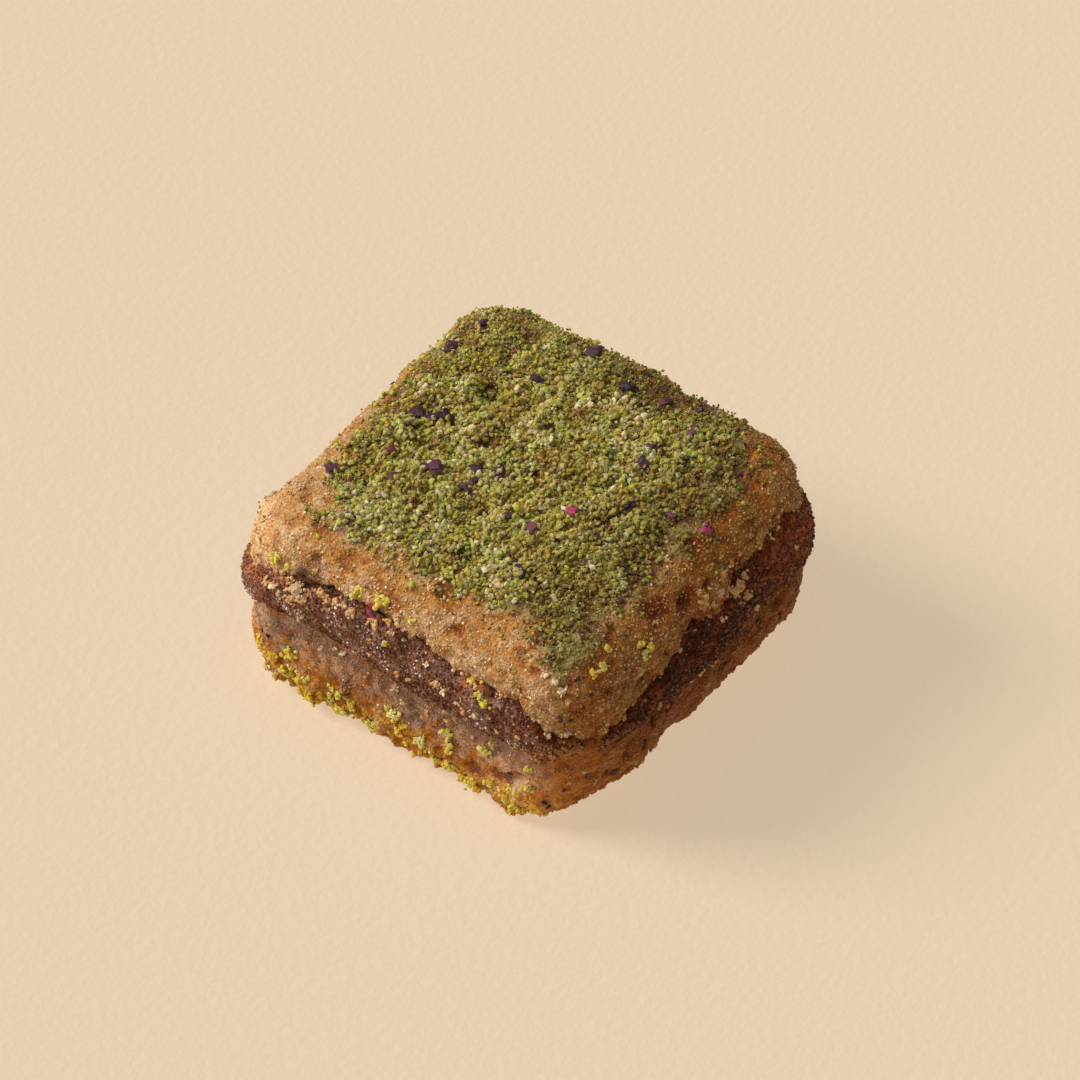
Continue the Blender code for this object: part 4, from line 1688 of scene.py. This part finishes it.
    def _side_flecks(self, strewing: Strewing) -> None:
        """Lay the flecks on the sides and along the front of the lid.

        Args:
            strewing: What they are strewn into.
        """
        draws = strewing.draws
        table = np.array(SIDE_FLECKS).repeat(self.side_flakes, 0)
        near = table[:, :3] + draws.normal(0.0, 0.3, (len(table), 3)) * table[:, 3:4]
        spots, normals = settle(self.skins, near * MM)
        frames = upright(normals, draws.uniform(0.0, math.tau, len(table)))
        radii = table[:, 3] * MM * draws.uniform(0.6, 0.9, len(table))
        tints = table[:, 4] + draws.normal(0.0, 0.08, len(table))
        strewing.add(spots + normals * 0.08 * MM, radii, tints, frames, (1.0, 0.6, 0.3))

    def _specks(self, strewing: Strewing) -> None:
        """Strew small specks of skin over the meal.

        Args:
            strewing: What they are strewn into.
        """
        draws = strewing.draws
        spots, normals = self.skin.draw(self.speck_count, dusted_share, draws)
        radii = draws.uniform(*self.speck_radius, len(spots))
        frames = upright(normals, draws.uniform(0.0, math.tau, len(spots)))
        tints = draws.choice((0.1, 0.45, 0.7, 0.95), len(spots), p=(0.4, 0.3, 0.22, 0.08))
        strewing.add(spots + normals * 0.24 * MM, radii, tints, frames, (1.0, 0.7, 0.45))


# Clods of pale dough: X, Y, Z and half width in mm, and tint.
PALE_CLODS = (
    (-10.9, -20.0, 15.3, 1.1, 0.72), (-10.1, -20.2, 14.8, 0.6, 0.75),
    (-11.5, -20.5, 14.3, 0.6, 0.65), (-9.8, -19.6, 15.3, 0.5, 0.7), (-12.9, -19.4, 15.7, 0.6, 0.75),
    (-12.2, -19.7, 15.6, 0.4, 0.8), (-14.1, -20.2, 14.4, 0.5, 0.7), (-13.2, -20.3, 14.7, 0.5, 0.72),
    (-8.8, -19.4, 15.8, 0.7, 0.68), (-7.9, -19.5, 15.4, 0.45, 0.7), (-6.6, -19.6, 16.0, 0.5, 0.75),
    (-5.9, -19.7, 16.0, 0.35, 0.7), (-4.9, -19.8, 16.0, 0.6, 0.62), (-2.8, -19.8, 16.0, 0.5, 0.66),
    (-2.2, -19.9, 15.9, 0.5, 0.66), (-0.4, -19.2, 17.4, 0.6, 0.7), (-1.3, -19.2, 16.4, 0.45, 0.68),
    (0.0, -19.2, 16.7, 0.5, 0.7), (-0.5, -19.7, 15.8, 0.35, 0.7), (-6.4, -20.2, 9.8, 0.35, 0.95),
    (-8.9, -20.2, 8.9, 0.25, 0.8), (-7.2, -20.2, 9.5, 0.2, 0.8), (3.5, -20.2, 14.8, 0.3, 0.95),
    (-0.5, -19.7, 8.7, 0.45, 0.8), (5.8, -20.6, 13.0, 0.4, 0.85), (4.5, -20.6, 13.0, 0.3, 0.8),
    (2.9, -19.8, 7.8, 0.35, 0.85), (-0.7, -20.4, 11.6, 0.25, 0.9), (9.3, -20.7, 12.2, 0.35, 0.8),
    (8.0, -20.8, 12.3, 0.3, 0.75), (6.1, -19.7, 8.8, 0.3, 0.7), (0.5, -19.8, 7.6, 0.3, 0.75),
    (-0.5, -16.9, 19.6, 0.5, 0.7), (1.3, -16.2, 19.8, 0.45, 0.7), (15.0, -17.9, 18.7, 0.4, 0.85),
    (16.0, -17.9, 18.3, 0.45, 0.9), (16.8, -17.9, 17.6, 0.45, 0.92), (17.3, -17.9, 16.7, 0.4, 0.85),
    (14.5, -19.1, 13.9, 0.4, 0.75), (15.3, -19.0, 13.8, 0.4, 0.7), (16.1, -19.0, 12.7, 0.4, 0.7),
    (17.1, -17.9, 12.6, 0.45, 0.85), (13.6, -20.3, 11.8, 0.25, 0.95), (19.5, 0.1, 15.9, 0.9, 0.7),
    (19.9, 0.7, 14.6, 0.6, 0.7), (19.2, -0.3, 17.0, 0.5, 0.55), (19.9, 4.2, 13.8, 0.8, 0.62),
    (20.1, 5.3, 13.8, 0.6, 0.6), (20.0, 6.2, 14.3, 0.5, 0.6), (19.3, 3.2, 16.4, 0.6, 0.6),
    (19.8, 2.2, 15.3, 0.5, 0.6),
)


@dataclass
class Crumbs:
    """Loose crumbs of dough: fine ones over both doughs' sides, and clods along the joints.

    Attributes:
        lid: The lid's skin.
        filling: The date band's skin.
        base: The base's skin.
        fine_count: How many fine crumbs.
        fine_radius: Their smallest and largest radius.
        clod_count: How many clods, besides those at set places.
        clod_width: Half the smallest and the largest clod's width.
        clod_grain: Smallest and largest radius of a clod's grains.
    """

    lid: Skin
    filling: Skin
    base: Skin
    fine_count: int = 16000
    fine_radius: Span = (0.08 * MM, 0.24 * MM)
    clod_count: int = 340
    clod_width: Span = (0.15 * MM, 0.7 * MM)
    clod_grain: Span = (0.11 * MM, 0.25 * MM)

    def build(self) -> list[bpy.types.Object]:
        """Strew both kinds and return their pieces."""
        return [self._fine(), self._clods()]

    def _fine(self) -> bpy.types.Object:
        """Strew fine crumbs.

        Returns:
            The finished piece.
        """
        strewing = Strewing("dough_crumbs", Slot.LID, DOUGH_CRUMBS, Form.CHIP, 0.3, 11)
        draws = strewing.draws
        # Skin, where on it, part of the whole, tint, and part of them that is white with sugar,
        # partly as painted glints.
        lots = (
            (self.lid, bare_share, 0.50, 0.62, 0.06), (self.base, side_share, 0.24, 0.25, 0.02),
            (self.filling, side_share, 0.06, 0.60, 0.02),
            (self.filling, stain_share, 0.03, 0.25, 0.0),
        )
        for skin, share, part, tone, frost in lots:
            spots, normals = skin.draw(int(self.fine_count * part), share, draws)
            radii = sizes_between(*self.fine_radius, (1.4, 2.4), len(spots), draws)
            drift = ripples(spots, 2.2 * MM, 71.0) * 0.22
            tints = tone + drift + draws.normal(0.0, 0.20, len(spots))
            # White crumbs: sugar, partly painted glints.
            tints = np.where(draws.random(len(spots)) < frost, 1.0, tints)
            # Painted shade darkens the crumbs towards +X; the stain darkens them at the front
            # corner.
            tints -= 0.3 * front_stain(spots) + 0.3 * painted_shade_share(spots, normals)
            strewing.add(spots + normals * (radii * 0.1)[:, None], radii, tints)
        return strewing.build()

    def _clods(self) -> bpy.types.Object:
        """Strew clods, most of them along the lid's lower lip and on the date band.

        Returns:
            The finished piece.
        """
        strewing = Strewing("crumb_clods", Slot.LID, DOUGH_CRUMBS, Form.PEBBLE, 0.3, 13)
        draws = strewing.draws
        # Skin, where on it, part of the whole, and tint.
        lots = (
            (self.lid, lip_share, 0.50, 0.62), (self.lid, bare_share, 0.14, 0.6),
            (self.filling, side_share, 0.20, 0.72), (self.base, side_share, 0.16, 0.5),
        )
        for skin, share, part, tone in lots:
            for spot, normal in zip(*skin.draw(int(self.clod_count * part), share, draws)):
                width = sizes_between(*self.clod_width, (1.2, 2.2), None, draws)
                tint = tone + draws.normal(0.0, 0.12)
                strewing.cluster(spot, normal, width, tint, self.clod_grain)
        table = np.array(PALE_CLODS)
        spots, normals = settle((self.lid, self.filling, self.base), table[:, :3] * MM)
        for spot, normal, (width, tint) in zip(spots, normals, table[:, 3:]):
            strewing.cluster(spot, normal, width * MM, tint, self.clod_grain)
        return strewing.build()


@dataclass
class Frosting:
    """Granules of paste and sugar over the date band.

    Attributes:
        filling: The date band's skin.
        count: How many granules.
        radius: Their smallest and largest radius.
    """

    filling: Skin
    count: int = 15000
    radius: Span = (0.09 * MM, 0.25 * MM)

    def build(self) -> list[bpy.types.Object]:
        """Strew the granules.

        Returns:
            Their piece, in a list.
        """
        strewing = Strewing("date_granules", Slot.FILLING, DATE_GRANULES, Form.CHIP, 0.3, 17)
        draws = strewing.draws
        spots, normals = self.filling.draw(self.count, side_share, draws)
        radii = sizes_between(*self.radius, (1.5, 2.0), len(spots), draws)
        frosty = eased(ripples(spots, 2.4 * MM, 61.0), -0.2, 0.5) * sugar_share(normals)
        tints = 0.10 + draws.beta(2.2, 2.2, len(spots)) * (0.32 + 0.24 * frosty)
        # Sugar on the frosty places; its brightest granules are partly painted glints.
        tints += frosty * (0.08 + draws.random(len(spots)) ** 2.0 * 0.70)
        # Painted glow lightens granules where light would seep through; painted shade darkens them
        # towards +X.
        tints += 0.35 * painted_glow_share(spots, DATE_PAINTED_GLOWS) - 0.22 * painted_shade_share(spots, normals)
        keep = draws.random(len(spots)) > 1.3 * front_stain(spots)
        lifted = spots + normals * (radii * 0.2)[:, None]
        strewing.add(lifted[keep], radii[keep], tints[keep])
        return [strewing.build()]


# Clumps of yellow meal: X, Y, Z and half width in mm, and tint.
YELLOW_CLUMPS = (
    (-16.8, -18.7, 4.2, 0.7, 0.45), (-14.5, -19.5, 4.3, 0.5, 0.3), (-12.5, -19.3, 5.4, 0.75, 0.65),
    (-13.2, -19.5, 3.4, 0.5, 0.6), (-12.7, -19.5, 2.8, 0.45, 0.75), (-10.9, -20.3, 4.0, 0.4, 0.55),
    (-10.1, -19.7, 2.7, 0.55, 0.35), (-8.9, -19.7, 2.5, 0.5, 0.3), (-7.6, -19.9, 4.3, 0.45, 0.8),
    (-6.5, -20.5, 4.2, 0.4, 0.7), (-6.8, -19.5, 1.8, 0.6, 0.75), (-5.6, -19.6, 3.1, 0.5, 0.6),
    (-3.9, -19.4, 2.0, 0.5, 0.8), (-1.2, -19.6, 5.8, 0.4, 0.7), (-0.5, -19.7, 5.3, 0.65, 0.9),
    (0.1, -19.8, 4.5, 0.4, 0.5), (0.1, -20.1, 3.8, 0.4, 0.45), (2.7, -20.1, 4.2, 0.6, 0.95),
    (4.0, -19.4, 2.1, 0.5, 0.6), (5.3, -19.5, 6.3, 0.5, 0.8), (5.5, -19.4, 4.9, 0.5, 0.75),
    (5.5, -19.3, 2.6, 0.45, 0.8), (7.2, -19.3, 1.7, 0.6, 0.4), (8.3, -20.0, 2.4, 0.4, 0.5),
    (9.7, -19.5, 6.8, 0.45, 0.75), (10.0, -19.4, 7.9, 0.4, 0.7), (9.2, -19.5, 6.8, 0.35, 0.9),
    (11.8, -19.7, 2.5, 0.5, 0.55), (12.6, -19.7, 3.9, 0.4, 0.6), (14.2, -19.6, 7.5, 0.4, 0.7),
    (14.0, -19.8, 5.4, 0.35, 0.8), (14.5, -19.6, 5.0, 0.35, 1.0), (13.4, -19.8, 4.2, 0.3, 0.5),
    (-13.7, -19.4, 17.1, 0.55, 0.7), (-12.6, -19.6, 16.8, 0.3, 0.75),
    (-4.8, -19.0, 17.9, 0.5, 0.65), (-2.6, -19.0, 17.9, 0.45, 0.8), (-2.2, -18.7, 18.2, 0.35, 0.9),
    (1.1, -19.0, 17.7, 0.3, 0.9), (8.2, -19.5, 14.9, 0.4, 0.7), (8.9, -19.3, 14.9, 0.35, 0.6),
    (9.4, -19.9, 14.3, 0.45, 0.85), (10.1, -20.2, 13.8, 0.4, 0.8), (-1.0, -20.3, 14.9, 0.3, 0.7),
    (19.3, -8.3, 16.7, 0.5, 0.75), (18.9, -9.3, 17.6, 0.4, 0.7), (19.4, -9.0, 16.4, 0.4, 0.8),
    (17.8, -12.2, 18.8, 0.35, 0.8), (18.1, -13.7, 18.3, 0.4, 0.8), (18.2, -14.7, 18.0, 0.4, 0.7),
    (-0.2, -12.9, 20.1, 0.4, 0.85), (1.2, -13.9, 20.1, 0.5, 0.95), (19.0, 9.0, 15.4, 0.3, 0.7),
)


@dataclass
class YellowMeal:
    """Clumps of yellow meal: along the base's lower edge towards -Y, and here and there above.

    Attributes:
        skins: The skins of all the layers, the base's first.
        swelling: How much wider than in the table the set clumps are.
        extra: How many small clumps, besides those at set places.
        extra_width: Half the smallest and the largest one's width in mm.
        reach_x: Where they begin and end along X.
        top: How high they go.
        grain: Smallest and largest radius of a clump's grains.
    """

    skins: Sequence[Skin]
    swelling: float = 1.2
    extra: int = 120
    extra_width: Span = (0.18, 0.55)
    reach_x: Span = (-17.5 * MM, 15.5 * MM)
    top: float = 4.5 * MM
    grain: Span = (0.14 * MM, 0.34 * MM)

    def build(self) -> list[bpy.types.Object]:
        """Strew the clumps.

        Returns:
            Their piece, in a list.
        """
        strewing = Strewing("meal_clumps", Slot.BASE, CLUMP_YELLOWS, Form.PEBBLE, 0.28, 19)
        draws = strewing.draws
        table = np.array(YELLOW_CLUMPS)
        spots, normals = settle(self.skins, table[:, :3] * MM)
        for spot, normal, (width, tint) in zip(spots, normals, table[:, 3:]):
            strewing.cluster(spot, normal, self.swelling * width * MM, tint, self.grain)
        for spot, normal in zip(*self.skins[0].draw(self.extra, self._edge, draws)):
            width = draws.uniform(*self.extra_width) * MM
            strewing.cluster(spot, normal, width, draws.uniform(0.0, 0.9), self.grain)
        return [strewing.build()]

    def _edge(self, points: Array, normals: Array) -> Array:
        """Share of clumps along the lower edge.

        Args:
            points: Places as rows.
            normals: Their normals.

        Returns:
            One share for each place.
        """
        along = (points[:, 0] > self.reach_x[0]) & (points[:, 0] < self.reach_x[1])
        low = 1.0 - eased(points[:, 2], 1.5 * MM, self.top)
        return along * low * (points[:, 1] < -10.0 * MM) * eased(-normals[:, 1], 0.1, 0.5)


# --- Studio ---------------------------------------------------------------------------------


@dataclass(frozen=True)
class Lamp:
    """One broad lamp.

    Attributes:
        name: The lamp's name.
        strength: Its strength.
        rise: Its angle above the floor in degrees.
        bearing: Its bearing in degrees, 0 to the camera's right and 90 away from the camera.
        spread: Its width in degrees.
        shadows: Whether it casts shadows.
        lit: What it shines on.
    """

    name: str
    strength: float
    rise: float
    bearing: float
    spread: float
    shadows: bool
    lit: Lit


@dataclass
class Studio:
    """Camera, floor and light.

    Attributes:
        azimuth: Bearing of the view in degrees, 0 looking along +Y.
        elevation: Its angle above the floor in degrees.
        distance: From the camera to the square's middle.
        pixels_per_mm: Scale of the photo at that middle.
        middle: Pixel of the photo at which that middle lies.
        middle_height: Its height above the floor.
        sensor: Width of the camera's sensor in mm.
        clip: Nearest and furthest distance that the camera sees.
        floor_width: Width of the floor.
        floor_colour: Its colour.
        floor_grain: Width and height of its bumps.
        sky_strength: Strength of the even light from all round.
        lamps: The lamps.
    """

    azimuth: float = 36.5
    elevation: float = 45.0
    distance: float = 0.6
    pixels_per_mm: float = 11.05
    middle: Span = (529.7, 553.7)
    middle_height: float = 10.2 * MM
    sensor: float = 36.0
    clip: Span = (0.01, 10.0)
    floor_width: float = 6.0
    floor_colour: Colour = (0.483, 0.382, 0.268)
    floor_grain: Span = (0.9 * MM, 0.10 * MM)
    sky_strength: float = 0.10
    lamps: Sequence[Lamp] = (
        Lamp("key", 2.55, 37.0, 170.0, 48.0, True, Lit.FOOD),
        Lamp("front_fill", 0.62, 34.0, 232.0, 60.0, True, Lit.FOOD),
        Lamp("overhead", 1.35, 74.0, 150.0, 60.0, True, Lit.FOOD),
        Lamp("floor_key", 1.97, 35.0, 168.0, 26.0, True, Lit.FLOOR),
        Lamp("floor_wash", 3.83, 80.0, 168.0, 20.0, False, Lit.FLOOR),
    )

    def build(self, food: Sequence[bpy.types.Object]) -> None:
        """Set up the studio round the food.

        Args:
            food: The food's pieces.
        """
        self._place_camera()
        things = {Lit.FOOD: food, Lit.FLOOR: [self._floor()]}
        groups = {lit: self._group(lit, pieces) for lit, pieces in things.items()}
        for lamp in self.lamps:
            self._hang(lamp, groups[lamp.lit])
        self._light_evenly()

    def _towards(self, bearing: float, rise: float) -> Vector:
        """Direction of something.

        Args:
            bearing: Its bearing in degrees, 0 to the camera's right and 90 away from the camera.
            rise: Its angle above the floor in degrees.

        Returns:
            The direction.
        """
        turn, rise = math.radians(self.azimuth + bearing), math.radians(rise)
        level = math.cos(rise)
        return Vector((math.cos(turn) * level, math.sin(turn) * level, math.sin(rise)))

    def _place_camera(self) -> None:
        """Aim the camera so that the square lies in the frame as in the photo."""
        right, back = self._towards(0.0, 0.0), self._towards(-90.0, self.elevation)
        up = back.cross(right)
        off_x = (PHOTO_SIDE / 2 - self.middle[0]) / self.pixels_per_mm * MM
        off_y = (self.middle[1] - PHOTO_SIDE / 2) / self.pixels_per_mm * MM
        aim = Vector((0.0, 0.0, self.middle_height)) + right * off_x + up * off_y
        data = bpy.data.cameras.new("camera")
        data.sensor_width = self.sensor
        data.lens = self.pixels_per_mm / MM * self.distance / PHOTO_SIDE * self.sensor
        data.clip_start, data.clip_end = self.clip
        camera = bpy.data.objects.new("camera", data)
        bpy.context.scene.collection.objects.link(camera)
        turned = Matrix((right, up, back)).transposed().to_4x4()
        camera.matrix_world = Matrix.Translation(aim + back * self.distance) @ turned
        bpy.context.scene.camera = camera

    def _floor(self) -> bpy.types.Object:
        """Lay a wide pale floor.

        Returns:
            The floor.
        """
        deselect()
        bpy.ops.mesh.primitive_plane_add(size=self.floor_width, location=(0.0, 0.0, 0.0))
        floor = bpy.context.object
        floor.name = "floor"
        board = Board("floor")
        size, depth = self.floor_grain
        grain = board.bump(board.clouds(size, 3.0), depth)
        floor.data.materials.append(board.close(self.floor_colour, 0.95, 0.0, grain))
        return floor

    @staticmethod
    def _group(lit: Lit, pieces: Sequence[bpy.types.Object]) -> bpy.types.Collection:
        """Gather what one kind of lamp shines on.

        Args:
            lit: The kind.
            pieces: What to gather.

        Returns:
            The collection.
        """
        group = bpy.data.collections.new(f"lit_{lit.value}")
        for piece in pieces:
            group.objects.link(piece)
        return group

    def _hang(self, lamp: Lamp, group: bpy.types.Collection) -> None:
        """Set up one lamp.

        Args:
            lamp: The lamp.
            group: What it shines on.
        """
        data = bpy.data.lights.new(lamp.name, "SUN")
        data.energy = lamp.strength
        data.angle = math.radians(lamp.spread)
        data.use_shadow = lamp.shadows
        shining = bpy.data.objects.new(lamp.name, data)
        shining.light_linking.receiver_collection = group
        towards = self._towards(lamp.bearing, lamp.rise)
        shining.rotation_euler = towards.to_track_quat("Z", "Y").to_euler()
        bpy.context.scene.collection.objects.link(shining)

    def _light_evenly(self) -> None:
        """Add an even sky, and show colours as they are."""
        world = bpy.data.worlds.new("studio")
        world.use_nodes = True
        sky = world.node_tree.nodes["Background"]
        sky.inputs["Color"].default_value = (1.0, 1.0, 1.0, 1.0)
        sky.inputs["Strength"].default_value = self.sky_strength
        scene = bpy.context.scene
        scene.world = world
        scene.view_settings.view_transform = "Standard"
        scene.view_settings.look = "None"


# --- The whole ------------------------------------------------------------------------------


def main() -> None:
    """Build the square and its studio."""
    logging.basicConfig(level=logging.INFO, format="%(name)s %(message)s")
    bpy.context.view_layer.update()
    layers = (Base(), DateBand(), Lid())
    pieces = [layer.build() for layer in layers]
    base, filling, lid = skins = tuple(Skin(piece) for piece in pieces)
    groups = (
        Topping(lid, skins), Crumbs(lid, filling, base), Frosting(filling), YellowMeal(skins))
    for group in groups:
        pieces.extend(group.build())
    for piece in pieces:
        log.info("%s: %d faces", piece.name, len(piece.data.polygons))
    Studio().build(pieces)


if __name__ == "__main__":
    main()
